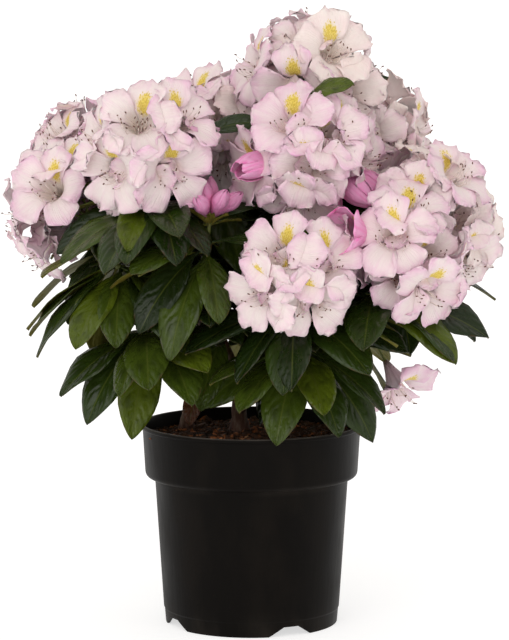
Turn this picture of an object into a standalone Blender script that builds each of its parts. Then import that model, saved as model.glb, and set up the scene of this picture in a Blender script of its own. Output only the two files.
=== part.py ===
"""A rhododendron in full flower in a round black nursery pot, in metres, with +Z up.

The pot stands on z = 0 with its axis on Z, and the side that is seen first faces -Y. Two stems rise
from the compost and fork into boughs. Each bough ends in a shoot: a whorl of leaves and, above it, a
truss of funnel-shaped flowers.

Directions are given as (turn, rise) in degrees: a turn of 0 points at the viewer (-Y) and 90 to the
right (+X), and a rise of 90 points straight up.
"""

import math
import random

import bmesh
import bpy
from mathutils import Matrix, Vector
from mathutils.bvhtree import BVHTree

UP = Vector((0, 0, 1))
NEAR_UPRIGHT = 0.05
SHARP_ANGLE = 40

# Between neighbours that touch, round a limb where another is cut clear of it, and between twigs
GAP = 0.0003
SADDLE_GAP = 0.0004
CLEARANCE = 0.0005

# Pot, from its lip to its foot
POT_HEIGHT = 0.199
POT_WALL = 0.002
POT_STEPS = 32
LIP_RADIUS = 0.1100
LIP_WIDTH = 0.0032
LIP_HEIGHT = 0.0034
LIP_SLOPE = 0.0020
COLLAR_TOP_RADIUS = 0.1079
COLLAR_FOOT_RADIUS = 0.1051
LEDGE_HEIGHT = 0.1455
LEDGE_ROUND = 0.006
LEDGE_CHAMFER = (0.0030, 0.0009)
BODY_TOP_RADIUS = 0.0958
BODY_FOOT_RADIUS = 0.0873
FOOT_HEIGHT = 0.0155
FOOT_RADIUS = 0.0853
FOOT_RING = 0.003
BASE_HEIGHT = 0.0100
PAD_RADIUS = 0.042
PAD_SLOPE = 0.004

# Notches in the foot, the first one this far round from the front, and a drain hole above each
NOTCH_COUNT = 4
NOTCH_TURN = 27
NOTCH_HEIGHT = 0.0094
NOTCH_WIDTH = 0.046
NOTCH_TOP_WIDTH = 0.016
NOTCH_DEPTH = 0.018
DRAIN_CENTRE = 0.072
DRAIN_RADIUS = 0.005
DRAIN_SIDES = 8
DRAIN_CUT = 0.008

# Compost
SOIL_TOP = 0.1860

# Stems: the flare at the ground, and how far a stem rises straight above it
STEM_SIDES = 8
STEM_STEPS = 6
STEM_RISE = 0.012
FLARE_HEIGHT = 0.012
FLARE = 1.45

# Boughs: the radius of one that forks off, as a share of its parent's, and how its taper falls off.
# The curve's handles are shares of its span, and a fork's leans outward by this much.
BOUGH_SIDES = 6
BOUGH_STEPS = 6
BOUGH_TIP_RADIUS = 0.0027
FORK_THICKNESS = 0.74
FORK_OUTWARD = 1.3
BOUGH_TAPER = 0.8
LEAVING_HANDLE = 0.33
ARRIVING_HANDLE = 0.30

# A shoot's stem through its leaves, and the stalk of its truss above them
SHOOT_LENGTH = 0.030
SHOOT_RADIUS = 0.0026
STALK_LENGTH = 0.042
STALK_RADIUS = 0.0024
STALK_TAPER = 0.75

# A flower: from the heart of its truss out to its rim
PEDICEL_SIDES = 3
PEDICEL_RADIUS = 0.0012
PEDICEL_LENGTH = 0.026
FUNNEL_LENGTH = 0.042
FUNNEL_DEPTH = 0.027
RIM_RADIUS = 0.038
RIM_LOBES = 5
LOBE_CORNERS = 3
LOBE_NOTCH = 0.76
LOBE_SET_BACK = 0.007
ROLL = 10

# A truss: the least angle between two flowers and how many others each may cross, for those that are
# shown and for the even ones, and how far round from the lean of the shoot they stand
SHOWN_SPREAD = 24
SHOWN_CROWD = 2
FLOWER_SPREAD = 48
EVEN_CROWD = 1
EVEN_FLOWERS = 34
TRUSS_EDGE = 104
ROOT_STEP = 0.0024

# A bunch of buds
BUD_COUNT = 6
BUD_LENGTH = 0.034
BUD_RADIUS = 0.0062
BUD_SIDES = 6
BUD_RINGS = 4
BUD_REACH = 0.006
BUD_EDGE = 52
BUD_STALK_LENGTH = 0.014

# A leaf: (share of the length, share of the half width) along its midrib
LEAF_LENGTH = 0.118
LEAF_HALF_WIDTH = 0.0220
LEAF_HALF_THICKNESS = 0.0009
LEAF_STATIONS = ((0.0, 0.0), (0.15, 0.10), (0.46, 0.97), (0.80, 0.80), (1.0, 0.0))
LEAF_FOLD = 0.20
LEAF_DROOP = 34
LEAF_SIZES = (0.92, 1.06)

# A whorl: the rise of a leaf on an upright shoot, how much less it is on the side that the shoot leans
# to, and by how much it may sag, turn and roll from that
WHORL_LEAVES = 7
WHORL_JITTER = 0.2
LEAF_SPREAD = 34
LEAF_RISE = 14
LEAF_TILT = 34
LEAF_SAG = 22
LEAF_ROLL = 25
LOWEST_LEAF = 0.3
GOLDEN = 0.618

# Where a flower or leaf finds no room it turns a little, and is smaller, at each try, and after this
# many tries a flower may cross one more. Those that point into the crown are left out.
TRIES = 7
JITTER = 11
SHRINK = 0.025
PATIENCE = 3
CROWN_HEART = Vector((0, 0.01, 0.36))
INWARD_LIMIT = -0.25

# Stems: foot, points on the way, tip, and the radius at foot and tip
STEMS = {
    "main_stem": (((-0.012, 0.030), (-0.014, 0.027, 0.215), (-0.009, 0.022, 0.250)), 0.0080, 0.0066),
    "side_stem": (((-0.065, 0.038), (-0.058, 0.024, 0.214), (-0.046, 0.010, 0.250)), 0.0062, 0.0052),
}

# Shoots with a truss: (the bough or stem it grows from, the share of that limb where it leaves it),
# the heart of its truss, the way the shoot leans, and its flowers, each (turn, rise), and leaves, each
# (turn, rise, roll), that face the viewer. The others are dealt out evenly round the shoot.
SHOOTS = {
    "top": (
        ("main_stem", 1.0),
        (0.057, 0.000, 0.547),
        (20, 84),
        ((24, 24), (-15, -9), (38, -14), (-72, 16), (140, 80), (92, 12)),
        (),
    ),
    "left_front": (
        ("side_stem", 1.0),
        (-0.097, -0.070, 0.480),
        (-15, 76),
        ((-11, 28), (37, 33), (20, -15), (-36, -13), (-72, 20)),
        ((-90, -17, 45), (-102, -28, 40), (-25, -29, 5), (14, -30, 0)),
    ),
    "front": (
        ("main_stem", 0.72),
        (0.045, -0.105, 0.366),
        (6, 52),
        ((12, -27), (-36, -16), (-17, 22), (24, 16)),
        ((40, -24, 15), (-70, -20, 20), (86, -20, 30)),
    ),
    "right_front": (
        ("main_stem", 0.9),
        (0.144, -0.080, 0.379),
        (42, 50),
        ((-10, 19), (30, -31), (14, 52)),
        ((84, -19, 35), (58, -36, 25), (-40, -6, 0)),
    ),
    "left_outer": (
        ("left_front", 0.25),
        (-0.175, 0.016, 0.414),
        (-80, 40),
        ((-24, 22), (-86, -8), (-74, -42), (-50, 62)),
        ((-106, -24, 0), (-118, -6, 0)),
    ),
    "middle": (
        ("top", 0.42),
        (0.052, -0.055, 0.475),
        (-5, 58),
        ((-17, 31), (22, 20), (3, -9), (-8, -40)),
        ((50, 5, 20), (-70, -10, 20)),
    ),
    "right_outer": (
        ("right_front", 0.4),
        (0.178, 0.022, 0.392),
        (92, 38),
        ((42, -26), (30, 30), (62, 2)),
        ((80, -38, 30), (100, -20, 0)),
    ),
    "right_upper": (
        ("top", 0.55),
        (0.108, 0.048, 0.488),
        (70, 68),
        ((17, 22), (-20, 4), (78, 4)),
        ((60, -30, 20), (100, -20, 0)),
    ),
    "right_middle": (
        ("right_outer", 0.5),
        (0.165, -0.030, 0.418),
        (58, 60),
        ((-21, 22), (18, 4), (52, 40)),
        (),
    ),
    "left_behind": (
        ("side_stem", 0.8),
        (-0.033, 0.060, 0.487),
        (150, 78),
        ((11, 14), (40, 27), (12, -24), (-42, 48)),
        ((20, -40, 10),),
    ),
    "left_back": (("left_outer", 0.45), (-0.155, 0.085, 0.450), (-125, 62), ((-60, 45),), ()),
    "buds": (
        ("side_stem", 0.62),
        (-0.040, -0.078, 0.408),
        (18, 72),
        (),
        ((28, -59, 5), (-34, -58, 10), (-70, -50, 40)),
    ),
    "back_left": (("main_stem", 0.8), (-0.110, 0.150, 0.415), (-145, 48), (), ()),
    "back_middle": (("back_left", 0.4), (0.010, 0.160, 0.455), (178, 62), (), ()),
    "back_right": (("back_middle", 0.35), (0.125, 0.140, 0.420), (138, 50), (), ()),
    "right_low": (
        ("right_front", 0.22),
        (0.124, 0.025, 0.278),
        (80, -18),
        ((45, -52),),
        ((74, -62, 10),),
    ),
}
BUD_SHOOT = "buds"
SPARSE_SHOOT = "right_low"

# Leafy shoots with no flowers: the limb they grow from, the place and lean of their tip, their leaves
LEAFY_SHOOTS = {
    "low_left": (
        ("side_stem", 0.9),
        (-0.143, -0.030, 0.362),
        (-70, 20),
        ((-32, -40, 0), (-158, -61, 0), (40, -38, 10), (-102, -20, 0)),
    ),
    "low_inner": (
        ("side_stem", 0.5),
        (-0.112, -0.030, 0.298),
        (-60, 10),
        ((-22, -60, 50), (-156, -20, 0), (22, -30, 0), (172, -24, 0)),
    ),
    "low_front": (
        ("main_stem", 0.5),
        (0.053, -0.050, 0.285),
        (25, 25),
        ((-78, -30, 45), (80, -52, 50), (14, -28, 0), (-18, -46, 10), (-150, -48, 80)),
    ),
    "low_back": (("main_stem", 0.6), (0.030, 0.125, 0.318), (165, 22), ((150, -40, 0), (-150, -44, 0))),
}
LEAFY_SEED = 100


def aim(turn, rise):
    """The unit vector that points this way."""
    turn, rise = math.radians(turn), math.radians(rise)
    return Vector((math.sin(turn) * math.cos(rise), -math.cos(turn) * math.cos(rise), math.sin(rise)))


def facing(forward, roll=0.0):
    """The turn that takes +Z to forward and keeps +Y as near up as it can be."""
    side = UP.cross(forward)
    if side.length < NEAR_UPRIGHT:
        side = Vector((1, 0, 0))
    side.normalize()
    columns = Matrix((side, forward.cross(side), forward)).transposed()
    return columns @ Matrix.Rotation(math.radians(roll), 3, "Z")


def new_collection(name):
    """An empty collection in the scene."""
    collection = bpy.data.collections.new(name)
    bpy.context.scene.collection.children.link(collection)
    return collection


def new_material(name, colour, roughness):
    """A plain material."""
    material = bpy.data.materials.new(name)
    material.use_nodes = True
    shader = material.node_tree.nodes["Principled BSDF"]
    shader.inputs["Base Color"].default_value = (*colour, 1.0)
    shader.inputs["Roughness"].default_value = roughness
    return material


def new_object(name, data, collection):
    """An object of this mesh or curve, in this collection."""
    made = bpy.data.objects.new(name, data)
    collection.objects.link(made)
    return made


def evaluated_mesh(thing):
    """The mesh that an object's modifiers or curve make."""
    graph = bpy.context.evaluated_depsgraph_get()
    return bpy.data.meshes.new_from_object(thing.evaluated_get(graph))


def empty(collection):
    """Removes a collection of helpers with its objects."""
    for helper in list(collection.objects):
        bpy.data.objects.remove(helper)
    bpy.data.collections.remove(collection)


class Piece:
    """A closed shape as points and faces, before it is joined to its node."""

    def __init__(self, sheet):
        bmesh.ops.triangulate(sheet, faces=sheet.faces[:])
        sheet.normal_update()
        sheet.verts.index_update()
        self.points = [corner.co.copy() for corner in sheet.verts]
        self.faces = [[corner.index for corner in face.verts] for face in sheet.faces]
        swollen = [corner.co + corner.normal * CLEARANCE for corner in sheet.verts]
        self.skins = [BVHTree.FromPolygons(skin, self.faces) for skin in (self.points, swollen)]
        self.low = Vector(map(min, zip(*swollen)))
        self.high = Vector(map(max, zip(*swollen)))
        sheet.free()

    def meets(self, other):
        """Whether the two shapes touch, as they are or slightly swollen."""
        for axis in range(3):
            if self.high[axis] < other.low[axis] or other.high[axis] < self.low[axis]:
                return False
        return any(skin.overlap(there) for skin in self.skins for there in other.skins)

    def mesh(self, name):
        """The shape as a new mesh."""
        made = bpy.data.meshes.new(name)
        made.from_pydata(self.points, [], self.faces)
        return made


class Room:
    """The pieces that stand already, so that a new one stays clear of every other node's."""

    def __init__(self):
        self.taken = []

    def is_free(self, piece, node):
        """Whether the piece is clear of every node but its own."""
        return not any(other != node and piece.meets(there) for other, there in self.taken)

    def take(self, piece, node):
        """Keeps the piece's place for its node."""
        self.taken.append((node, piece))


def as_piece(mesh):
    """A mesh as a piece, to keep others clear of it."""
    sheet = bmesh.new()
    sheet.from_mesh(mesh)
    return Piece(sheet)


def turned(name, profile, collection):
    """A profile of (radius, height) turned about Z."""
    sheet = bmesh.new()
    corners = [sheet.verts.new((radius, 0, height)) for radius, height in profile]
    for first, second in zip(corners, corners[1:]):
        sheet.edges.new((first, second))
    mesh = bpy.data.meshes.new(name)
    sheet.to_mesh(mesh)
    sheet.free()
    made = new_object(name, mesh, collection)
    screw = made.modifiers.new("Turn", "SCREW")
    screw.steps = screw.render_steps = POT_STEPS
    screw.use_merge_vertices = True
    screw.merge_threshold = 0.00001
    return made


def cone_piece(start, end, start_radius, end_radius, sides):
    """A straight tapering twig."""
    along = end - start
    place = Matrix.Translation((start + end) / 2) @ facing(along.normalized()).to_4x4()
    sheet = bmesh.new()
    bmesh.ops.create_cone(
        sheet,
        cap_ends=True,
        segments=sides,
        radius1=start_radius,
        radius2=end_radius,
        depth=along.length,
        matrix=place,
    )
    return Piece(sheet)


def bud_piece(root, way):
    """An egg-shaped bud at the end of its own length from its root."""
    sheet = bmesh.new()
    size = Matrix.Diagonal((BUD_RADIUS, BUD_RADIUS, BUD_LENGTH / 2, 1.0))
    place = Matrix.Translation(root + way * (BUD_REACH + BUD_LENGTH / 2)) @ facing(way).to_4x4() @ size
    bmesh.ops.create_uvsphere(
        sheet, u_segments=BUD_SIDES, v_segments=BUD_RINGS, radius=1.0, matrix=place
    )
    return Piece(sheet)


def leaf_piece(root, turn, rise, roll, length):
    """A leaf whose midrib leaves its root this way and droops, rolled to show its upper side."""
    level = aim(turn, 0)
    side = level.cross(UP)
    start = math.radians(rise + LEAF_DROOP / 2)
    bend = math.radians(LEAF_DROOP)
    ribs = []
    place = root.copy()
    before = 0.0
    for share, _ in LEAF_STATIONS:
        angle = start - bend * (share + before) / 2
        place = place + (level * math.cos(angle) + UP * math.sin(angle)) * (share - before) * length
        angle = start - bend * share
        along = level * math.cos(angle) + UP * math.sin(angle)
        over = UP * math.cos(angle) - level * math.sin(angle)
        towards = 1 if along.cross(over).y < 0 else -1
        rolled = Matrix.Rotation(math.radians(roll * min(1.0, 2 * share)) * towards, 3, along)
        ribs.append((place.copy(), rolled @ side, rolled @ over))
        before = share
    stations = len(LEAF_STATIONS)
    sheet = bmesh.new()
    bmesh.ops.create_uvsphere(sheet, u_segments=4, v_segments=stations - 1, radius=1.0)
    heights = sorted({round(corner.co.z, 3) for corner in sheet.verts})
    for corner in sheet.verts:
        index = heights.index(round(corner.co.z, 3))
        place, side, over = ribs[index]
        ring = math.hypot(corner.co.x, corner.co.y)
        if index in (0, stations - 1):
            corner.co = place
            continue
        across, above = corner.co.x / ring, corner.co.y / ring
        half = LEAF_STATIONS[index][1] * LEAF_HALF_WIDTH * length / LEAF_LENGTH
        lift = abs(across) * half * LEAF_FOLD + above * LEAF_HALF_THICKNESS
        corner.co = place + side * across * half + over * lift
    bmesh.ops.recalc_face_normals(sheet, faces=sheet.faces[:])
    return Piece(sheet)


def flower_piece(root, way, size, roll):
    """A flower on its pedicel: a three-sided stalk that widens into a funnel with a five-lobed rim."""
    place = Matrix.Translation(root) @ facing(way, roll).to_4x4()
    sheet = bmesh.new()

    def corner(angle, radius, height):
        across = Vector((-math.sin(angle), math.cos(angle), 0)) * radius
        return sheet.verts.new(place @ (across + UP * height))

    base = PEDICEL_LENGTH * size
    rim_height = base + FUNNEL_LENGTH * size
    rim_steps = LOBE_CORNERS * RIM_LOBES
    rim = []
    for step in range(rim_steps):
        notch = step % LOBE_CORNERS == 1
        radius = RIM_RADIUS * size * (LOBE_NOTCH if notch else 1.0)
        set_back = LOBE_SET_BACK * size if notch else 0.0
        rim.append(corner(math.tau * (step + 0.5) / rim_steps, radius, rim_height - set_back))
    sides = range(PEDICEL_SIDES)
    foot = [corner(math.tau * side / PEDICEL_SIDES, PEDICEL_RADIUS, 0.0) for side in sides]
    neck = [corner(math.tau * side / PEDICEL_SIDES, PEDICEL_RADIUS, base) for side in sides]
    throat = corner(0.0, 0.0, rim_height - FUNNEL_DEPTH * size)
    sheet.faces.new(foot)
    for side in sides:
        after = (side + 1) % PEDICEL_SIDES
        sheet.faces.new((foot[side], foot[after], neck[after], neck[side]))
    nearest = [round((step + 1) * PEDICEL_SIDES / rim_steps) % PEDICEL_SIDES for step in range(rim_steps)]
    for step in range(rim_steps):
        after = (step + 1) % rim_steps
        sheet.faces.new((rim[step], rim[after], throat))
        sheet.faces.new((rim[step], rim[after], neck[nearest[step]]))
        if nearest[step] != nearest[after]:
            sheet.faces.new((rim[after], neck[nearest[step]], neck[nearest[after]]))
    bmesh.ops.recalc_face_normals(sheet, faces=sheet.faces[:])
    return Piece(sheet)


def even_ways(lean, count, edge, phase):
    """Directions spread evenly over the cap within edge degrees of a lean, the middle ones first."""
    turn = facing(lean)
    top = 1 - math.cos(math.radians(edge))
    for index in range(count):
        height = 1 - top * (index + 0.5) / count
        ring = math.sqrt(max(0.0, 1 - height * height))
        angle = phase + index * math.pi * (3 - math.sqrt(5))
        yield turn @ Vector((ring * math.cos(angle), ring * math.sin(angle), height))


class Shoot:
    """The tip of a bough: a whorl of leaves round its stem, and a truss of flowers on a stalk above."""

    def __init__(self, name, seed, stem, foot, tip, room):
        self.truss_name = "truss_" + name
        self.whorl_name = "leaves_" + name
        self.dice = random.Random(seed)
        self.foot = foot
        self.tip = tip
        self.lean = (tip - foot).normalized()
        self.room = room
        self.leaves = [stem]
        self.leaf_ways = []
        self.flowers = []
        self.flower_ways = []
        room.take(stem, self.whorl_name)

    def add_stalk(self, heart):
        """The stalk of the truss, which starts a gap above the shoot's stem."""
        start = self.tip + self.lean * GAP
        self.heart = heart
        stalk = cone_piece(start, self.heart, STALK_RADIUS, STALK_RADIUS * STALK_TAPER, BOUGH_SIDES)
        self.flowers.append(stalk)
        self.room.take(stalk, self.truss_name)

    def add_flower(self, way, spread, crowd):
        """A flower this way, unless it is too near another of its truss or finds no room."""
        if any(math.degrees(way.angle(other)) < spread for other in self.flower_ways):
            return
        for attempt in range(TRIES):
            size = 1.0 - SHRINK * attempt
            root = self.heart - self.lean * ROOT_STEP * (1 + len(self.flower_ways))
            flower = flower_piece(root, way, size, self.dice.uniform(-ROLL, ROLL))
            crossed = sum(flower.meets(other) for other in self.flowers[1:])
            if crossed <= crowd + attempt // PATIENCE and self.room.is_free(flower, self.truss_name):
                self.flowers.append(flower)
                self.flower_ways.append(way)
                self.room.take(flower, self.truss_name)
                return
            way = way + Vector([self.dice.uniform(-1, 1) for _ in range(3)]) * math.radians(JITTER)
            way.normalize()

    def add_even_flowers(self):
        """The flowers that the first ones leave room for, all round the truss."""
        outward = (self.heart - CROWN_HEART).normalized()
        for way in even_ways(self.lean, EVEN_FLOWERS, TRUSS_EDGE, self.dice.uniform(0, math.tau)):
            if way.dot(outward) > INWARD_LIMIT:
                self.add_flower(way, FLOWER_SPREAD, EVEN_CROWD)

    def add_buds(self):
        """Buds in a tight bunch, in place of flowers."""
        for way in even_ways(self.lean, BUD_COUNT, BUD_EDGE, self.dice.uniform(0, math.tau)):
            end = self.heart + way * BUD_LENGTH
            pedicel = cone_piece(self.heart, end, PEDICEL_RADIUS, PEDICEL_RADIUS, PEDICEL_SIDES)
            for piece in (bud_piece(self.heart, way), pedicel):
                self.flowers.append(piece)
                self.room.take(piece, self.truss_name)

    def add_leaf(self, turn, rise, roll, spread):
        """A leaf this way, unless it is too near another of its whorl or finds no room."""
        way = aim(turn, rise)
        if any(math.degrees(way.angle(other)) < spread for other in self.leaf_ways):
            return
        for attempt in range(TRIES):
            height = LOWEST_LEAF + (1 - 2 * LOWEST_LEAF) * ((len(self.leaf_ways) * GOLDEN) % 1.0)
            length = LEAF_LENGTH * self.dice.uniform(*LEAF_SIZES) * (1 - SHRINK * attempt)
            leaf = leaf_piece(self.foot.lerp(self.tip, height), turn, rise, roll, length)
            if self.room.is_free(leaf, self.whorl_name):
                self.leaves.append(leaf)
                self.leaf_ways.append(way)
                self.room.take(leaf, self.whorl_name)
                return
            turn += self.dice.uniform(-JITTER, JITTER)
            rise -= self.dice.uniform(0, JITTER)

    def add_even_leaves(self):
        """The leaves that the first ones leave room for, all round the shoot."""
        outward = math.degrees(math.atan2(self.lean.x, -self.lean.y))
        flat = math.hypot(self.lean.x, self.lean.y)
        for index in range(WHORL_LEAVES):
            shift = self.dice.uniform(-WHORL_JITTER, WHORL_JITTER)
            turn = outward + 360 * (index + shift) / WHORL_LEAVES
            tilt = math.cos(math.radians(turn - outward))
            rise = LEAF_RISE * self.lean.z - LEAF_TILT * flat * tilt - self.dice.uniform(0, LEAF_SAG)
            if aim(turn, rise).dot((self.tip - CROWN_HEART).normalized()) > INWARD_LIMIT:
                self.add_leaf(turn, rise, self.dice.uniform(-LEAF_ROLL, LEAF_ROLL), LEAF_SPREAD)


def join(name, pieces, material, collection):
    """One solid of all these pieces, by a single union."""
    operands = bpy.data.collections.new(name + "_operands")
    for piece in pieces[1:]:
        new_object(name + "_operand", piece.mesh(name), operands)
    made = new_object(name, pieces[0].mesh(name), collection)
    union = made.modifiers.new("Join", "BOOLEAN")
    union.operation = "UNION"
    union.operand_type = "COLLECTION"
    union.collection = operands
    union.solver = "EXACT"
    joined = evaluated_mesh(made)
    made.modifiers.clear()
    made.data = joined
    empty(operands)
    made.data.materials.clear()
    made.data.materials.append(material)


def inner_profile():
    """The inside of the pot, from the middle of its floor up to the lip."""
    floor = BASE_HEIGHT + POT_WALL
    return [
        (0, POT_WALL),
        (PAD_RADIUS - POT_WALL, POT_WALL),
        (PAD_RADIUS + PAD_SLOPE - POT_WALL, floor),
        (BODY_FOOT_RADIUS - POT_WALL, floor),
        (BODY_TOP_RADIUS - POT_WALL, LEDGE_HEIGHT + POT_WALL),
        (COLLAR_FOOT_RADIUS - POT_WALL, LEDGE_HEIGHT + LEDGE_ROUND + POT_WALL),
        (COLLAR_TOP_RADIUS - POT_WALL, POT_HEIGHT - LIP_HEIGHT - LIP_SLOPE),
    ]


def build_pot(parts, cutters, material):
    """The pot: a turned shell with a collar and a lip, notches in its foot and holes in its floor."""
    ledge_width, ledge_rise = LEDGE_CHAMFER
    lip = [
        (LIP_RADIUS - LIP_WIDTH, POT_HEIGHT),
        (LIP_RADIUS, POT_HEIGHT),
        (LIP_RADIUS, POT_HEIGHT - LIP_HEIGHT),
    ]
    outer = [
        (COLLAR_TOP_RADIUS, POT_HEIGHT - LIP_HEIGHT - LIP_SLOPE),
        (COLLAR_FOOT_RADIUS, LEDGE_HEIGHT + LEDGE_ROUND),
        (COLLAR_FOOT_RADIUS - ledge_width, LEDGE_HEIGHT + ledge_rise),
        (BODY_TOP_RADIUS, LEDGE_HEIGHT),
        (BODY_FOOT_RADIUS, FOOT_HEIGHT),
        (FOOT_RADIUS, 0),
        (FOOT_RADIUS - FOOT_RING, 0),
        (FOOT_RADIUS - FOOT_RING, BASE_HEIGHT),
        (PAD_RADIUS + PAD_SLOPE, BASE_HEIGHT),
        (PAD_RADIUS, 0),
        (0, 0),
    ]
    pot = turned("pot", inner_profile() + lip + outer, parts)
    pot.data.materials.append(material)
    cut = pot.modifiers.new("Drainage", "BOOLEAN")
    cut.operation = "DIFFERENCE"
    cut.object = drainage_cutter(cutters)
    return pot


def drainage_cutter(cutters):
    """What is cut from the foot: a notch with sloping sides and a drain hole, each repeated round."""
    sheet = bmesh.new()
    narrow = NOTCH_TOP_WIDTH / NOTCH_WIDTH
    for index in range(NOTCH_COUNT):
        turn = NOTCH_TURN + 360 * index / NOTCH_COUNT
        about = Matrix.Rotation(math.radians(turn), 4, "Z")
        place = about @ Matrix.Translation((0, -FOOT_RADIUS, 0))
        size = Matrix.Diagonal((NOTCH_WIDTH, NOTCH_DEPTH, NOTCH_HEIGHT * 2, 1.0))
        block = bmesh.ops.create_cube(sheet, size=1.0, matrix=size)["verts"]
        for corner in block:
            corner.co.x *= narrow if corner.co.z > 0 else 2 - narrow
        bmesh.ops.transform(sheet, matrix=place, verts=block)
        drain = about @ Matrix.Translation((0, -DRAIN_CENTRE, BASE_HEIGHT))
        bmesh.ops.create_cone(
            sheet,
            cap_ends=True,
            segments=DRAIN_SIDES,
            radius1=DRAIN_RADIUS,
            radius2=DRAIN_RADIUS,
            depth=DRAIN_CUT,
            matrix=drain,
        )
    mesh = bpy.data.meshes.new("drainage_notches")
    sheet.to_mesh(mesh)
    sheet.free()
    notches = new_object("drainage_notches", mesh, cutters)
    notches.hide_render = True
    notches.display_type = "WIRE"
    return notches


def build_soil(parts, material):
    """The compost: a plug that fills the pot up to a little below its lip."""
    wall = [(radius - GAP, height + GAP) for radius, height in inner_profile()]
    middle, top = wall[-2], wall[-1]
    share = (SOIL_TOP - middle[1]) / (top[1] - middle[1])
    brink = middle[0] + (top[0] - middle[0]) * share
    profile = [(0, SOIL_TOP), (brink, SOIL_TOP)] + wall[-2:0:-1] + [(0, wall[0][1])]
    soil = turned("soil", profile, parts)
    soil.data.materials.append(material)
    return soil


class Limb:
    """A tapering stem or bough along a smooth path."""

    def __init__(self, name, points, radii, sides):
        self.name = name
        self.points = points
        self.radii = radii
        self.sides = sides

    def at(self, share):
        """The place, way and radius at this share of the path."""
        last = len(self.points) - 1
        index = min(int(share * last), last - 1)
        part = share * last - index
        first, second = self.points[index], self.points[index + 1]
        radius = self.radii[index] * (1 - part) + self.radii[index + 1] * part
        return first.lerp(second, part), (second - first).normalized(), radius

    def tube(self, name, extra, collection):
        """The limb as a closed mesh object, thicker by extra."""
        curve = bpy.data.curves.new(name, "CURVE")
        curve.dimensions = "3D"
        curve.bevel_depth = 1.0
        curve.bevel_resolution = (self.sides - 4) // 2
        curve.use_fill_caps = True
        path = curve.splines.new("POLY")
        path.points.add(len(self.points) - 1)
        places = [place.copy() for place in self.points]
        places[0] -= (places[1] - places[0]).normalized() * extra
        places[-1] += (places[-1] - places[-2]).normalized() * extra
        for point, place, radius in zip(path.points, places, self.radii):
            point.co = (*place, 1.0)
            point.radius = radius + extra
        drawn = new_object(name + "_path", curve, collection)
        mesh = evaluated_mesh(drawn)
        bpy.data.objects.remove(drawn)
        bpy.data.curves.remove(curve)
        sheet = bmesh.new()
        sheet.from_mesh(mesh)
        bmesh.ops.remove_doubles(sheet, verts=sheet.verts[:], dist=0.000001)
        bmesh.ops.recalc_face_normals(sheet, faces=sheet.faces[:])
        sheet.to_mesh(mesh)
        sheet.free()
        return new_object(name, mesh, collection)


def bezier(start, first, second, end, steps):
    """Points along a cubic curve."""
    places = []
    for step in range(steps + 1):
        t = step / steps
        u = 1 - t
        places.append(start * u**3 + first * 3 * u * u * t + second * 3 * u * t * t + end * t**3)
    return places


def stem_limb(name):
    """A stem with its flare, from its flat cut on the compost to its tip."""
    (foot, middle, tip), foot_radius, tip_radius = STEMS[name]
    foot = Vector((*foot, SOIL_TOP + GAP))
    middle, tip = Vector(middle), Vector(tip)
    above = foot + UP * FLARE_HEIGHT / 2
    points = [foot] + bezier(above, above + UP * STEM_RISE, middle, tip, STEM_STEPS)
    radii = []
    for point in points:
        share = (point.z - foot.z) / (tip.z - foot.z)
        flare = (FLARE - 1) * max(0.0, 1 - (point.z - foot.z) / FLARE_HEIGHT)
        radii.append((foot_radius + (tip_radius - foot_radius) * share) * (1 + flare))
    return Limb(name, points, radii, STEM_SIDES)


def bough_limb(name, parent, share, end, lean, straight):
    """A bough that leaves its parent limb, and ends in a straight stretch where its shoot begins."""
    start, way, radius = parent.at(share)
    goes_on = share >= 1.0
    if goes_on:
        start = start + way * GAP
    span = (end - start).length
    out = (end - start).normalized()
    leaving = way if goes_on else (way + out * FORK_OUTWARD).normalized()
    first = start + leaving * span * LEAVING_HANDLE
    second = end - lean * span * ARRIVING_HANDLE
    points = bezier(start, first, second, end - lean * straight, BOUGH_STEPS) + [end]
    thick = radius * (1.0 if goes_on else FORK_THICKNESS)
    last = len(points) - 1
    radii = [thick + (BOUGH_TIP_RADIUS - thick) * (step / last) ** BOUGH_TAPER for step in range(last + 1)]
    return Limb(name, points, radii, BOUGH_SIDES)


def saddled(limb, limbs):
    """The limb's mesh, cut clear of every limb made before it."""
    helpers = new_collection(limb.name + "_helpers")
    made = limb.tube(limb.name, 0.0, helpers)
    plain = as_piece(made.data)
    cutters = new_collection(limb.name + "_elders")
    for elder in limbs:
        swollen = elder.tube(elder.name + "_cutter", SADDLE_GAP, cutters)
        if not as_piece(swollen.data).meets(plain):
            bpy.data.objects.remove(swollen)
    mesh = made.data
    if len(cutters.objects):
        cut = made.modifiers.new("Saddle", "BOOLEAN")
        cut.operation = "DIFFERENCE"
        cut.operand_type = "COLLECTION"
        cut.collection = cutters
        cut.solver = "EXACT"
        mesh = evaluated_mesh(made)
    empty(helpers)
    empty(cutters)
    return mesh


def add_limb(limb, limbs, material, parts, room):
    """A limb as a node of its own."""
    made = new_object(limb.name, saddled(limb, limbs), parts)
    made.data.materials.append(material)
    made.data.shade_smooth()
    made.data.set_sharp_from_angle(angle=math.radians(SHARP_ANGLE))
    limbs.append(limb)
    room.take(as_piece(made.data), limb.name)


def stalk_length(name):
    """How far the heart of a truss is above its leaves."""
    return BUD_STALK_LENGTH if name == BUD_SHOOT else STALK_LENGTH


def clear_scene():
    """Removes whatever the scene holds."""
    for thing in list(bpy.data.objects):
        bpy.data.objects.remove(thing)


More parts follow.
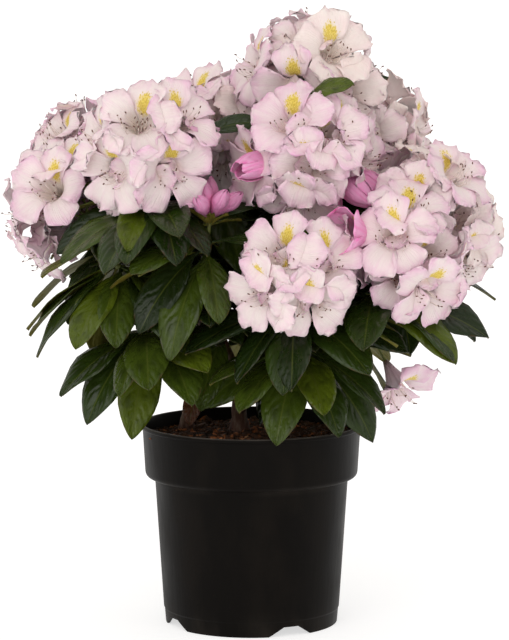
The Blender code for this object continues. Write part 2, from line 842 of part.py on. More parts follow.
def build_limbs(parts, material, room):
    """The stems and boughs, each cut clear of those before it, and the list of them."""
    limbs = []
    for name in STEMS:
        add_limb(stem_limb(name), limbs, material, parts, room)
    by_name = {limb.name: limb for limb in limbs}
    for name, ((parent, share), heart, lean, _, _) in SHOOTS.items():
        lean = aim(*lean)
        end = Vector(heart) - lean * (stalk_length(name) + SHOOT_LENGTH + GAP)
        carrier = by_name.get(parent) or by_name["bough_" + parent]
        limb = bough_limb("bough_" + name, carrier, share, end, lean, BOUGH_TIP_RADIUS)
        add_limb(limb, limbs, material, parts, room)
        by_name[limb.name] = limb
    return limbs


def start_shoots(limbs, room):
    """Each shoot's stem in its place, with the stalk of its truss if it has one."""
    shoots = {}
    for seed, (name, (_, heart, lean, _, _)) in enumerate(SHOOTS.items()):
        lean = aim(*lean)
        tip = Vector(heart) - lean * stalk_length(name)
        foot = tip - lean * SHOOT_LENGTH
        stem = cone_piece(foot, tip, SHOOT_RADIUS, STALK_RADIUS, BOUGH_SIDES)
        shoots[name] = Shoot(name, seed, stem, foot, tip, room)
        shoots[name].add_stalk(Vector(heart))
    by_name = {limb.name: limb for limb in limbs}
    for seed, (name, ((parent, share), tip, lean, _)) in enumerate(LEAFY_SHOOTS.items()):
        tip, lean = Vector(tip), aim(*lean)
        twig = bough_limb("twig_" + name, by_name[parent], share, tip, lean, SHOOT_LENGTH)
        stem = as_piece(saddled(twig, limbs))
        limbs.append(twig)
        shoots[name] = Shoot(name, LEAFY_SEED + seed, stem, tip - lean * SHOOT_LENGTH, tip, room)
    return shoots


def fill_shoots(shoots):
    """The flowers, buds and leaves: first those that face the viewer, nearest first, then the rest."""
    front_first = sorted(SHOOTS, key=lambda name: SHOOTS[name][1][1])
    for name in front_first:
        for way in SHOOTS[name][3]:
            shoots[name].add_flower(aim(*way), SHOWN_SPREAD, SHOWN_CROWD)
    shoots[BUD_SHOOT].add_buds()
    for name in front_first + list(LEAFY_SHOOTS):
        for way in (SHOOTS.get(name) or LEAFY_SHOOTS[name])[-1]:
            shoots[name].add_leaf(*way, 0)
    for name in front_first:
        if name not in (BUD_SHOOT, SPARSE_SHOOT):
            shoots[name].add_even_flowers()
    for shoot in shoots.values():
        shoot.add_even_leaves()


def build():
    """The whole plant in its pot."""
    clear_scene()
    parts = new_collection("potted_rhododendron")
    cutters = new_collection("cutters")
    plastic = new_material("pot_plastic", (0.012, 0.012, 0.013), 0.42)
    compost = new_material("compost", (0.045, 0.026, 0.016), 0.95)
    bark = new_material("bark", (0.115, 0.055, 0.034), 0.85)
    green = new_material("leaf", (0.022, 0.060, 0.014), 0.35)
    pink = new_material("petal", (0.83, 0.66, 0.74), 0.60)
    room = Room()

    for filled in (build_pot(parts, cutters, plastic), build_soil(parts, compost)):
        room.take(as_piece(evaluated_mesh(filled)), filled.name)
    limbs = build_limbs(parts, bark, room)
    shoots = start_shoots(limbs, room)
    fill_shoots(shoots)
    for shoot in shoots.values():
        join(shoot.whorl_name, shoot.leaves, green, parts)
        if shoot.flowers:
            join(shoot.truss_name, shoot.flowers, pink, parts)


build()
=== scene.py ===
"""The looks of a potted rhododendron in full flower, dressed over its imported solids.

Directions are given as (turn, rise) in degrees, as where the solids are made: a turn of 0 points at the
viewer (-Y) and 90 to the right (+X), and a rise of 90 points straight up. Lengths are in metres.
"""

import functools
import math
import random

import bmesh
import bpy
import numpy as np
from mathutils import Matrix, Vector, noise
from mathutils.bvhtree import BVHTree


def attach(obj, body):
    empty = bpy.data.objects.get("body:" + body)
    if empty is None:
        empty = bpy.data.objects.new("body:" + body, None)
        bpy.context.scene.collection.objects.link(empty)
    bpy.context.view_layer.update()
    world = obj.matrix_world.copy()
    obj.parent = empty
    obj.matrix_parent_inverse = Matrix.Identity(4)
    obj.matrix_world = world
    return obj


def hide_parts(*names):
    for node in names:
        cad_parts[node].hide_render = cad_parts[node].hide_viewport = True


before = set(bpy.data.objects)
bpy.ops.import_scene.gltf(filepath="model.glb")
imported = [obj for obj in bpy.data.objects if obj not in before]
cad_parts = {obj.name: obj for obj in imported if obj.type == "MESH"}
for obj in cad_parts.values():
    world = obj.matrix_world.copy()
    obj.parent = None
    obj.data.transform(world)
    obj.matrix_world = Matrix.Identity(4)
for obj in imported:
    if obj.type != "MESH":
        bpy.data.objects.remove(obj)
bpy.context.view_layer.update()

# The view: a long lens three metres away and a little above the plant, looking slightly down on it, over
# a plain white floor that runs to the horizon.
FOCAL_PIXELS = 3255
FRAME_PIXELS = 640
SENSOR_WIDTH = 36
EYE = (0.003, -3.19, 0.693)
EYE_TILT = 7
FLOOR_SIZE = 90.0
FLOOR_COLOUR = (0.52, 0.52, 0.52, 1.0)
FLOOR_ROUGHNESS = 0.9
FLOOR_GLOW = 0.64
WHITE = (1.0, 1.0, 1.0, 1.0)


def placed(name, data):
    """An object with this data, in the scene."""
    made = bpy.data.objects.new(name, data)
    bpy.context.scene.collection.objects.link(made)
    return made


camera = placed("camera", bpy.data.cameras.new("camera"))
camera.data.sensor_width = SENSOR_WIDTH
camera.data.lens = SENSOR_WIDTH * FOCAL_PIXELS / FRAME_PIXELS
camera.location = EYE
camera.rotation_euler = (math.radians(90 - EYE_TILT), 0, 0)
bpy.context.scene.camera = camera

bpy.ops.mesh.primitive_plane_add(size=FLOOR_SIZE)
floor = bpy.context.object
floor.name = "floor"
paper = bpy.data.materials.new("white_paper")
paper.use_nodes = True
paper_sockets = paper.node_tree.nodes["Principled BSDF"].inputs
paper_sockets["Base Color"].default_value = FLOOR_COLOUR
paper_sockets["Roughness"].default_value = FLOOR_ROUGHNESS
paper_sockets["Emission Color"].default_value = WHITE
paper_sockets["Emission Strength"].default_value = FLOOR_GLOW
floor.data.materials.append(paper)

# The light: slightly warm white walls all round, which give most of it, and one large soft lamp in front
# of the plant, high on the left.
WALL_LIGHT = 0.80
WALL_COLOUR = (1.0, 0.97, 0.935, 1.0)
KEY_POWER = 0.85
KEY_COLOUR = (1.0, 0.97, 0.97)
KEY_SPREAD = 46
KEY_RISE = 33
KEY_TURN = -16

studio = bpy.data.worlds.new("studio")
studio.use_nodes = True
wall_sockets = studio.node_tree.nodes["Background"].inputs
wall_sockets["Color"].default_value = WALL_COLOUR
wall_sockets["Strength"].default_value = WALL_LIGHT
bpy.context.scene.world = studio
bpy.context.scene.view_settings.view_transform = "Standard"

key = placed("key_light", bpy.data.lights.new("key_light", "SUN"))
key.data.energy = KEY_POWER
key.data.color = KEY_COLOUR
key.data.angle = math.radians(KEY_SPREAD)
key.rotation_euler = (math.radians(90 - KEY_RISE), 0, math.radians(KEY_TURN))

# The pot: thin black plastic moulded in one piece, with a rolled lip over a collar, which sits on a
# rounded ledge above the tapering body. Four notches in its foot let the water from the drain holes out.
POT_HEIGHT = 0.199
POT_WALL = 0.002
POT_STEPS = 160
LIP_RADIUS = 0.1100
LIP_WIDTH = 0.0032
LIP_HEIGHT = 0.0034
LIP_SLOPE = 0.0012
COLLAR_TOP_RADIUS = 0.1079
COLLAR_FOOT_RADIUS = 0.1051
LEDGE_HEIGHT = 0.1455
LEDGE_ROUND = 0.0052
LEDGE_RISE = 0.0012
BODY_TOP_RADIUS = 0.0958
BODY_FOOT_RADIUS = 0.0873
FOOT_HEIGHT = 0.0155
FOOT_STEP = 0.0012
FOOT_RADIUS = 0.0853
FOOT_RING = 0.003
BASE_HEIGHT = 0.0100
PAD_RADIUS = 0.042
PAD_SLOPE = 0.004
CORNER = 0.0008
NOTCH_COUNT = 4
NOTCH_TURN = 27
NOTCH_HEIGHT = 0.0094
NOTCH_WIDTH = 0.046
NOTCH_TOP_WIDTH = 0.016
NOTCH_DEPTH = 0.018
DRAIN_CENTRE = 0.072
DRAIN_RADIUS = 0.005
DRAIN_SIDES = 32
DRAIN_CUT = 0.008
SHARP_ANGLE = 35
ARC_STEPS = 5

POT_BLACK = (0.0022, 0.0016, 0.0011, 1.0)
POT_WORN = (0.0060, 0.0045, 0.0032, 1.0)
POT_DUST = (0.055, 0.045, 0.036, 1.0)
# The lip's pale edge: partly wear, partly a painted highlight along the lip
LIP_WORN_AND_LIT = (0.085, 0.074, 0.064, 1.0)
LIP_WEAR_AND_HIGHLIGHT = (POT_HEIGHT - 0.0013, POT_HEIGHT - 0.0002)
LEDGE_DUST_REACH = 0.00625
FOOT_DUST = (0.002, 0.030)
PLASTIC_BUMPS = 0.00012

# Grains of a finish, here and below, are each (scale, detail, stretch along each axis)
PLASTIC_CLOUDS = (26.0, 4.0, (1.0, 1.0, 0.5))
PLASTIC_STREAKS = (240.0, 2.0, (1.0, 1.0, 0.12))
PLASTIC_GRIT = (900.0, 1.0)


class Value:
    """A socket in a finish's nodes: arithmetic on it adds Math nodes."""

    def __init__(self, finish, socket):
        self.finish = finish
        self.socket = socket

    def __add__(self, other):
        return self.finish.math("ADD", self, other)

    __radd__ = __add__

    def __sub__(self, other):
        return self.finish.math("SUBTRACT", self, other)

    def __rsub__(self, other):
        return self.finish.math("SUBTRACT", other, self)

    def __mul__(self, other):
        return self.finish.math("MULTIPLY", self, other)

    __rmul__ = __mul__

    def __pow__(self, other):
        return self.finish.math("POWER", self, other)

    def __abs__(self):
        return self.finish.math("ABSOLUTE", self)

    def part(self):
        """What it has after its decimal point."""
        return self.finish.math("FRACT", self)

    def over(self, limit):
        """1 above the limit and 0 elsewhere."""
        return self.finish.math("GREATER_THAN", self, limit)

    def between(self, low, high):
        """0 at low and 1 at high, with a soft turn at both."""
        sockets = {"Value": self, "From Min": low, "From Max": high}
        return self.finish.add("ShaderNodeMapRange", {"interpolation_type": "SMOOTHSTEP"}, sockets)


class Finish:
    """A material whose shader takes its sockets from expressions on Values."""

    def __init__(self, name, **constants):
        self.material = bpy.data.materials.new(name)
        self.material.use_nodes = True
        self.tree = self.material.node_tree
        self.shader = self.tree.nodes["Principled BSDF"]
        for socket, value in constants.items():
            self.shader.inputs[socket.replace("_", " ")].default_value = value

    def add(self, kind, settings, sockets, output=0):
        """A node of this kind: its settings first, then the values or links of its sockets."""
        made = self.tree.nodes.new(kind)
        for setting, value in settings.items():
            if setting == "stops":
                self.lay_stops(made.color_ramp, value)
            else:
                setattr(made, setting, value)
        for socket, value in sockets.items():
            self.feed(made.inputs[socket], value)
        return Value(self, made.outputs[output])

    def lay_stops(self, ramp, colours):
        """Even bands of these colours, with hard edges between them."""
        ramp.interpolation = "CONSTANT"
        for index, colour in enumerate(colours):
            stop = ramp.elements[index] if index < 2 else ramp.elements.new(index / len(colours))
            stop.position = index / len(colours)
            stop.color = colour

    def feed(self, socket, value):
        """Links a socket to a Value, or gives it a number or colour."""
        if isinstance(value, Value):
            self.tree.links.new(value.socket, socket)
        else:
            socket.default_value = value

    def drive(self, socket, value):
        """Feeds one of the shader's own sockets."""
        self.feed(self.shader.inputs[socket], value)

    def math(self, operation, *terms):
        """A Math node on these terms."""
        return self.add("ShaderNodeMath", {"operation": operation}, dict(enumerate(terms)))

    def place(self, stretch=(1.0, 1.0, 1.0), where=None):
        """Where a point lies on the object, in metres, or on its spots, stretched along each axis."""
        where = where or self.add("ShaderNodeTexCoord", {}, {}, "Object")
        return self.add("ShaderNodeVectorMath", {"operation": "MULTIPLY"}, {0: where, 1: stretch})

    def axis(self, where, name):
        """How far a place lies along X, Y or Z."""
        return self.add("ShaderNodeSeparateXYZ", {}, {0: where}, name)

    def grain(self, scale, detail, stretch=(1.0, 1.0, 1.0), where=None):
        """A cloudy pattern from 0 to 1, stretched along each axis."""
        sockets = {"Vector": self.place(stretch, where), "Scale": scale, "Detail": detail}
        return self.add("ShaderNodeTexNoise", {}, sockets)

    def mix(self, first, second, share):
        """One colour over another."""
        sockets = {0: share, 6: first, 7: second}
        return self.add("ShaderNodeMix", {"data_type": "RGBA"}, sockets, 2)

    def band(self, colours, share):
        """The colour of one of several equal bands."""
        return self.add("ShaderNodeValToRGB", {"stops": colours}, {"Fac": share})

    def relief(self, height, depth):
        """Bumps this deep on the surface."""
        bump = self.add("ShaderNodeBump", {}, {"Height": height, "Distance": depth, "Strength": 1.0})
        self.drive("Normal", bump)


def dressed(name, mesh, finish, nodes=(), sharp=None):
    """An object of this mesh, in its finish, that rides on the part and stands for these solids."""
    made = placed(name, mesh)
    mesh.materials.clear()
    mesh.materials.append(finish.material)
    mesh.shade_smooth()
    if sharp:
        mesh.set_sharp_from_angle(angle=math.radians(sharp))
    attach(made, "root")
    if nodes:
        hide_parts(*nodes)


def rounded(corners):
    """A line through corners, each (radius, height, rounding), with an arc at every rounded one."""
    line = []
    for index, (radius, height, rounding) in enumerate(corners):
        here = Vector((radius, height))
        if not rounding:
            line.append(here)
            continue
        before = (Vector(corners[index - 1][:2]) - here).normalized()
        after = (Vector(corners[index + 1][:2]) - here).normalized()
        for step in range(ARC_STEPS + 1):
            share = step / ARC_STEPS
            line.append(here + before * rounding * (1 - share) ** 2 + after * rounding * share**2)
    return line


def turned(line, steps):
    """A closed mesh from a line of (radius, height) that starts and ends on the axis."""
    sheet = bmesh.new()
    rings = []
    for radius, height in line:
        if radius == 0:
            rings.append([sheet.verts.new((0, 0, height))] * steps)
            continue
        angles = [math.tau * step / steps for step in range(steps)]
        rings.append([sheet.verts.new((radius * math.cos(a), radius * math.sin(a), height)) for a in angles])
    for low, high in zip(rings, rings[1:]):
        for step in range(steps):
            after = (step + 1) % steps
            corners = dict.fromkeys((low[step], low[after], high[after], high[step]))
            sheet.faces.new(tuple(corners))
    bmesh.ops.recalc_face_normals(sheet, faces=sheet.faces[:])
    return sheet


def meshed(sheet, name):
    """The sheet as a mesh of this name. The sheet itself is freed."""
    mesh = bpy.data.meshes.new(name)
    sheet.to_mesh(mesh)
    sheet.free()
    return mesh


def add_cone(sheet, sides, radii, length, place):
    """Adds a closed cone or cylinder with its middle at the place."""
    low, high = radii
    bmesh.ops.create_cone(
        sheet, cap_ends=True, segments=sides, radius1=low, radius2=high, depth=length, matrix=place
    )


def inner_corners():
    """The inside of the pot, from the middle of its floor up to the lip."""
    floor_height = BASE_HEIGHT + POT_WALL
    return [
        (0, POT_WALL, 0),
        (PAD_RADIUS - POT_WALL, POT_WALL, CORNER),
        (PAD_RADIUS + PAD_SLOPE - POT_WALL, floor_height, CORNER),
        (BODY_FOOT_RADIUS - POT_WALL, floor_height, CORNER),
        (BODY_TOP_RADIUS - POT_WALL, LEDGE_HEIGHT + POT_WALL, CORNER),
        (COLLAR_FOOT_RADIUS - POT_WALL, LEDGE_HEIGHT + LEDGE_ROUND + POT_WALL, CORNER),
        (COLLAR_TOP_RADIUS - POT_WALL, POT_HEIGHT - LIP_HEIGHT - LIP_SLOPE, 0),
    ]


def outer_corners():
    """The outside of the pot, from the lip down to the middle of its underside."""
    return [
        (LIP_RADIUS - LIP_WIDTH, POT_HEIGHT, CORNER),
        (LIP_RADIUS, POT_HEIGHT, CORNER * 2),
        (LIP_RADIUS, POT_HEIGHT - LIP_HEIGHT, CORNER),
        (COLLAR_TOP_RADIUS, POT_HEIGHT - LIP_HEIGHT - LIP_SLOPE, CORNER / 2),
        (COLLAR_FOOT_RADIUS, LEDGE_HEIGHT + LEDGE_RISE, LEDGE_ROUND),
        (BODY_TOP_RADIUS, LEDGE_HEIGHT, CORNER),
        (BODY_FOOT_RADIUS, FOOT_HEIGHT, CORNER),
        (FOOT_RADIUS + FOOT_STEP, FOOT_HEIGHT - FOOT_STEP, CORNER),
        (FOOT_RADIUS, 0, CORNER),
        (FOOT_RADIUS - FOOT_RING, 0, CORNER),
        (FOOT_RADIUS - FOOT_RING, BASE_HEIGHT, CORNER),
        (PAD_RADIUS + PAD_SLOPE, BASE_HEIGHT, CORNER),
        (PAD_RADIUS, 0, CORNER),
        (0, 0, 0),
    ]


def drainage_cutter():
    """What is cut from the foot: a notch with sloping sides and a drain hole, each repeated round."""
    sheet = bmesh.new()
    narrow = NOTCH_TOP_WIDTH / NOTCH_WIDTH
    for index in range(NOTCH_COUNT):
        about = Matrix.Rotation(math.radians(NOTCH_TURN + 360 * index / NOTCH_COUNT), 4, "Z")
        size = Matrix.Diagonal((NOTCH_WIDTH, NOTCH_DEPTH, NOTCH_HEIGHT * 2, 1.0))
        block = bmesh.ops.create_cube(sheet, size=1.0, matrix=size)["verts"]
        for corner in block:
            corner.co.x *= narrow if corner.co.z > 0 else 2 - narrow
        bmesh.ops.transform(sheet, matrix=about @ Matrix.Translation((0, -FOOT_RADIUS, 0)), verts=block)
        hole = about @ Matrix.Translation((0, -DRAIN_CENTRE, BASE_HEIGHT))
        add_cone(sheet, DRAIN_SIDES, (DRAIN_RADIUS, DRAIN_RADIUS), DRAIN_CUT, hole)
    return sheet


def evaluated(thing):
    """The mesh that an object's modifiers make. The object itself is removed."""
    graph = bpy.context.evaluated_depsgraph_get()
    mesh = bpy.data.meshes.new_from_object(thing.evaluated_get(graph))
    bpy.data.objects.remove(thing)
    return mesh


def cut_pot():
    """The turned shell with its notches and drain holes."""
    line = rounded(inner_corners() + outer_corners())
    shell = placed("pot_shell", meshed(turned(line, POT_STEPS), "pot_shell"))
    cutter = placed("drainage", meshed(drainage_cutter(), "drainage"))
    cut = shell.modifiers.new("Drainage", "BOOLEAN")
    cut.operation = "DIFFERENCE"
    cut.object = cutter
    mesh = evaluated(shell)
    bpy.data.objects.remove(cutter)
    return mesh


def plastic_finish():
    """Black plastic, duller in patches, with dust on the ledge and the foot, and the lip's edge pale, partly
    worn and partly a painted highlight.
    """
    finish = Finish("black_plastic", Specular_IOR_Level=0.06)
    clouds = finish.grain(*PLASTIC_CLOUDS)
    streaks = finish.grain(*PLASTIC_STREAKS)
    height = finish.axis(finish.place(), "Z")
    lip = height.between(*LIP_WEAR_AND_HIGHLIGHT)
    ledge = (1.0 - abs(height - LEDGE_HEIGHT) * (1 / LEDGE_DUST_REACH)).between(0.0, 1.0)
    foot = 1.0 - height.between(*FOOT_DUST)
    dust = (ledge * 0.18 + foot * 0.22) * clouds.between(0.35, 0.75)
    worn = finish.mix(POT_BLACK, POT_WORN, clouds.between(0.42, 0.72) * 0.7 + streaks * 0.2)
    dusty = finish.mix(worn, POT_DUST, dust)
    # The lip's edge is mixed toward a paler colour: partly wear, partly a painted highlight
    finish.drive("Base Color", finish.mix(dusty, LIP_WORN_AND_LIT, lip * (clouds.between(0.3, 0.7) * 0.5 + 0.4)))
    finish.drive("Roughness", clouds.between(0.3, 0.8) * 0.16 + streaks * 0.10 + 0.34)
    finish.relief(streaks + finish.grain(*PLASTIC_GRIT) * 0.5, PLASTIC_BUMPS)
    return finish


dressed("pot_shell", cut_pot(), plastic_finish(), ["pot"], SHARP_ANGLE)

# The compost: dark moist bark compost, filled to a little below the lip. Its top is uneven, and chips of
# orange bark and crumbs lie on it.
SOIL_TOP = 0.1860
SOIL_GAP = 0.0003
SOIL_RINGS = 40
SOIL_RELIEF = 0.0028
SOIL_RELIEF_SCALE = 55.0
SOIL_ROUGHNESS = (0.7, 2.0, 4)
SOIL_SLICE = 0.4
SOIL_BUMPS = 0.0012
CHIP_SIZE = (0.0130, 0.0072, 0.0027)
CHIP_DENSITY = 6500.0
CRUMB_SIZE = (0.0034, 0.0028, 0.0022)
CRUMB_DENSITY = 62000.0
CHIP_TILT = 0.5
LUMP_CUTS = (4, 3, 2)
LUMP_SCALES = (0.4, 1.3)
LUMP_ROUGHNESS = 230.0
CHIP_BUMPS = 0.0006
SURFACE_SIDES = 64
SURFACE_CUTS = 5

SOIL_DARK = (0.008, 0.0045, 0.003, 1.0)
SOIL_BROWN = (0.038, 0.017, 0.010, 1.0)
CHIP_BROWN = (0.055, 0.022, 0.011, 1.0)
CHIP_ORANGE = (0.42, 0.14, 0.045, 1.0)
CHIP_TAN = (0.38, 0.23, 0.12, 1.0)
SOIL_CRUMBS = (420.0, 4.0)
CHIP_PATCHES = (95.0, 1.0)
CHIP_FIBRES = (700.0, 3.0, (1.0, 1.0, 0.4))

# What is strewn: its size, how many lie on a square metre, its dice, its finish and how orange that is
STREWN = {
    "bark_chips": (CHIP_SIZE, CHIP_DENSITY, 3, "orange_bark", 0.12),
    "compost_crumbs": (CRUMB_SIZE, CRUMB_DENSITY, 8, "dark_crumbs", 0.02),
}


def soil_height(x, y):
    """The height of the compost's uneven top."""
    spot = Vector((x, y, SOIL_SLICE)) * SOIL_RELIEF_SCALE
    return SOIL_TOP + SOIL_RELIEF * noise.fractal(spot, *SOIL_ROUGHNESS)


def soil_body():
    """The plug of compost, with relief on its top."""
    wall = [(radius - SOIL_GAP, height + SOIL_GAP) for radius, height in rounded(inner_corners())]
    middle, top = wall[-2], wall[-1]
    brink = middle[0] + (top[0] - middle[0]) * (SOIL_TOP - middle[1]) / (top[1] - middle[1])
    rings = [(brink * ring / SOIL_RINGS, SOIL_TOP) for ring in range(SOIL_RINGS + 1)]
    sheet = turned(rings + wall[-2:0:-1] + [(0, wall[0][1])], POT_STEPS)
    for corner in sheet.verts:
        if corner.co.z > middle[1] + CORNER:
            corner.co.z = soil_height(corner.co.x, corner.co.y)
    return meshed(sheet, "compost")


def soil_surface():
    """The top of the compost alone, to strew things on."""
    radius = COLLAR_TOP_RADIUS - POT_WALL - CHIP_SIZE[0] / 2
    sheet = bmesh.new()
    bmesh.ops.create_circle(sheet, cap_ends=True, segments=SURFACE_SIDES, radius=radius)
    bmesh.ops.inset_individual(sheet, faces=sheet.faces[:], thickness=0.0)
    bmesh.ops.triangulate(sheet, faces=sheet.faces[:])
    bmesh.ops.subdivide_edges(sheet, edges=sheet.edges[:], cuts=SURFACE_CUTS, use_grid_fill=True)
    for corner in sheet.verts:
        corner.co.z = soil_height(corner.co.x, corner.co.y)
    return meshed(sheet, "compost_top")


class Weave:
    """A tree of Geometry Nodes with named inputs."""

    def __init__(self, name):
        self.tree = bpy.data.node_groups.new(name, "GeometryNodeTree")
        self.tree.interface.new_socket("Geometry", in_out="INPUT", socket_type="NodeSocketGeometry")
        self.tree.interface.new_socket("Geometry", in_out="OUTPUT", socket_type="NodeSocketGeometry")
        self.inputs = {}

    def ask(self, name, kind, value):
        """A named input of the tree, with its value."""
        socket = self.tree.interface.new_socket(name, in_out="INPUT", socket_type="NodeSocket" + kind)
        self.inputs[socket.identifier] = value

    def given(self):
        """The outputs of the tree's inputs, by name."""
        return self.tree.nodes.new("NodeGroupInput").outputs

    def add(self, kind, sockets, output=0, **settings):
        """A node of this kind with its settings and the values or links of its sockets."""
        made = self.tree.nodes.new(kind)
        for setting, value in settings.items():
            setattr(made, setting, value)
        for socket, value in sockets.items():
            if isinstance(value, bpy.types.NodeSocket):
                self.tree.links.new(value, made.inputs[socket])
            else:
                made.inputs[socket].default_value = value
        return made.outputs[output]

    def grow(self, mesh):
        """The mesh that the tree makes from this one."""
        base = placed(self.tree.name, mesh)
        modifier = base.modifiers.new(self.tree.name, "NODES")
        modifier.node_group = self.tree
        for identifier, value in self.inputs.items():
            modifier[identifier] = value
        return evaluated(base)


def strewn(name, size, density, seed, material):
    """Rough lumps of about this size strewn on the compost."""
    weave = Weave(name)
    for side, length in zip(("Length", "Width", "Thickness"), size):
        weave.ask(side, "Float", length)
    weave.ask("Density", "Float", density)
    weave.ask("Seed", "Int", seed)
    weave.ask("Material", "Material", material)
    given = weave.given()
    spots = {"Mesh": given["Geometry"], "Density": given["Density"], "Seed": given["Seed"]}
    points = weave.add("GeometryNodeDistributePointsOnFaces", spots)
    box = {"X": given["Length"], "Y": given["Width"], "Z": given["Thickness"]}
    cuts = dict(enumerate(LUMP_CUTS, 1))
    lump = weave.add("GeometryNodeMeshCube", {0: weave.add("ShaderNodeCombineXYZ", box), **cuts})
    tilt = {0: (-CHIP_TILT, -CHIP_TILT, 0.0), 1: (CHIP_TILT, CHIP_TILT, math.tau), "Seed": given["Seed"]}
    turn = weave.add("FunctionNodeRandomValue", tilt, data_type="FLOAT_VECTOR")
    scales = {2: LUMP_SCALES[0], 3: LUMP_SCALES[1], "Seed": given["Seed"]}
    sizes = weave.add("FunctionNodeRandomValue", scales, 1)
    laid = {"Points": points, "Instance": lump, "Rotation": turn, "Scale": sizes}
    lumps = weave.add("GeometryNodeInstanceOnPoints", laid)
    real = weave.add("GeometryNodeRealizeInstances", {0: lumps})
    cloud = weave.add("ShaderNodeTexNoise", {"Scale": LUMP_ROUGHNESS, "Detail": 1.0}, "Color")
    centred = weave.add("ShaderNodeVectorMath", {0: cloud, 1: (0.5, 0.5, 0.5)}, operation="SUBTRACT")
    shift = weave.add("ShaderNodeVectorMath", {0: centred, "Scale": given["Width"]}, operation="SCALE")
    rough = weave.add("GeometryNodeSetPosition", {"Geometry": real, "Offset": shift})
    clad = weave.add("GeometryNodeSetMaterial", {"Geometry": rough, "Material": given["Material"]})
    weave.tree.links.new(clad, weave.tree.nodes.new("NodeGroupOutput").inputs[0])
    return weave.grow(soil_surface())


def soil_finish():
    """Moist dark compost."""
    finish = Finish("moist_compost", Roughness=0.92, Specular_IOR_Level=0.25)
    crumbs = finish.grain(*SOIL_CRUMBS)
    finish.drive("Base Color", finish.mix(SOIL_DARK, SOIL_BROWN, crumbs.between(0.38, 0.68)))
    finish.relief(crumbs, SOIL_BUMPS)
    return finish


def chip_finish(name, share_orange):
    """Bark chips, each between brown, orange and tan."""
    finish = Finish(name, Roughness=0.85, Specular_IOR_Level=0.3)
    patch = finish.grain(*CHIP_PATCHES)
    fibres = finish.grain(*CHIP_FIBRES)
    warm = finish.mix(CHIP_BROWN, CHIP_ORANGE, patch.between(0.62 - share_orange, 0.74 - share_orange / 2))
    pale = finish.mix(warm, CHIP_TAN, patch.between(0.66, 0.80) * 0.8)
    finish.drive("Base Color", finish.mix(pale, SOIL_DARK, fibres.between(0.52, 0.72) * 0.75))
    finish.relief(fibres, CHIP_BUMPS)
    return finish


dressed("compost_bed", soil_body(), soil_finish(), ["soil"], SHARP_ANGLE)
for name, (size, density, seed, finish_name, share_orange) in STREWN.items():
    finish = chip_finish(finish_name, share_orange)
    dressed(name, strewn(name, size, density, seed, finish.material), finish)

# The stems and boughs: woody limbs as thick as a finger and thinner, reddish brown under grey, flaking
# bark, with a flare where the two stems leave the compost and a collar at each fork. The way they run is
# the solids' own: each shoot's place decides where its bough ends.
UP = Vector((0, 0, 1))
NEAR_UPRIGHT = 0.05
GAP = 0.0003
STEM_STEPS = 6
STEM_FINENESS = 4
STEM_RISE = 0.012
FLARE_HEIGHT = 0.012
FLARE = 1.45
BOUGH_STEPS = 6
BOUGH_TIP_RADIUS = 0.0027
FORK_THICKNESS = 0.74
FORK_OUTWARD = 1.3
BOUGH_TAPER = 0.8
LEAVING_HANDLE = 0.33
ARRIVING_HANDLE = 0.30
SHOOT_LENGTH = 0.030
STALK_LENGTH = 0.042
BUD_STALK_LENGTH = 0.014
FINE_STEPS = 12
FINE_SIDES = 18
SUNK = 0.004
COLLAR_SWELL = 0.22
COLLAR_REACH = 1.5
CONE_LENGTH = 0.5
CONE_TIP = 0.1
BARK_SCALE = 95.0
BARK_DEPTH = 0.07
BARK_REACH = 0.01
BARK_BUMPS = 0.0010
NODE_STEP = 0.028
NODE_SWELL = 0.07
NODE_SHARPNESS = 6

# Stems: foot, points on the way, tip, and the radius at foot and tip
STEMS = {
    "main_stem": (((-0.012, 0.030), (-0.014, 0.027, 0.215), (-0.009, 0.022, 0.250)), 0.0080, 0.0066),
    "side_stem": (((-0.065, 0.038), (-0.058, 0.024, 0.214), (-0.046, 0.010, 0.250)), 0.0062, 0.0052),
}

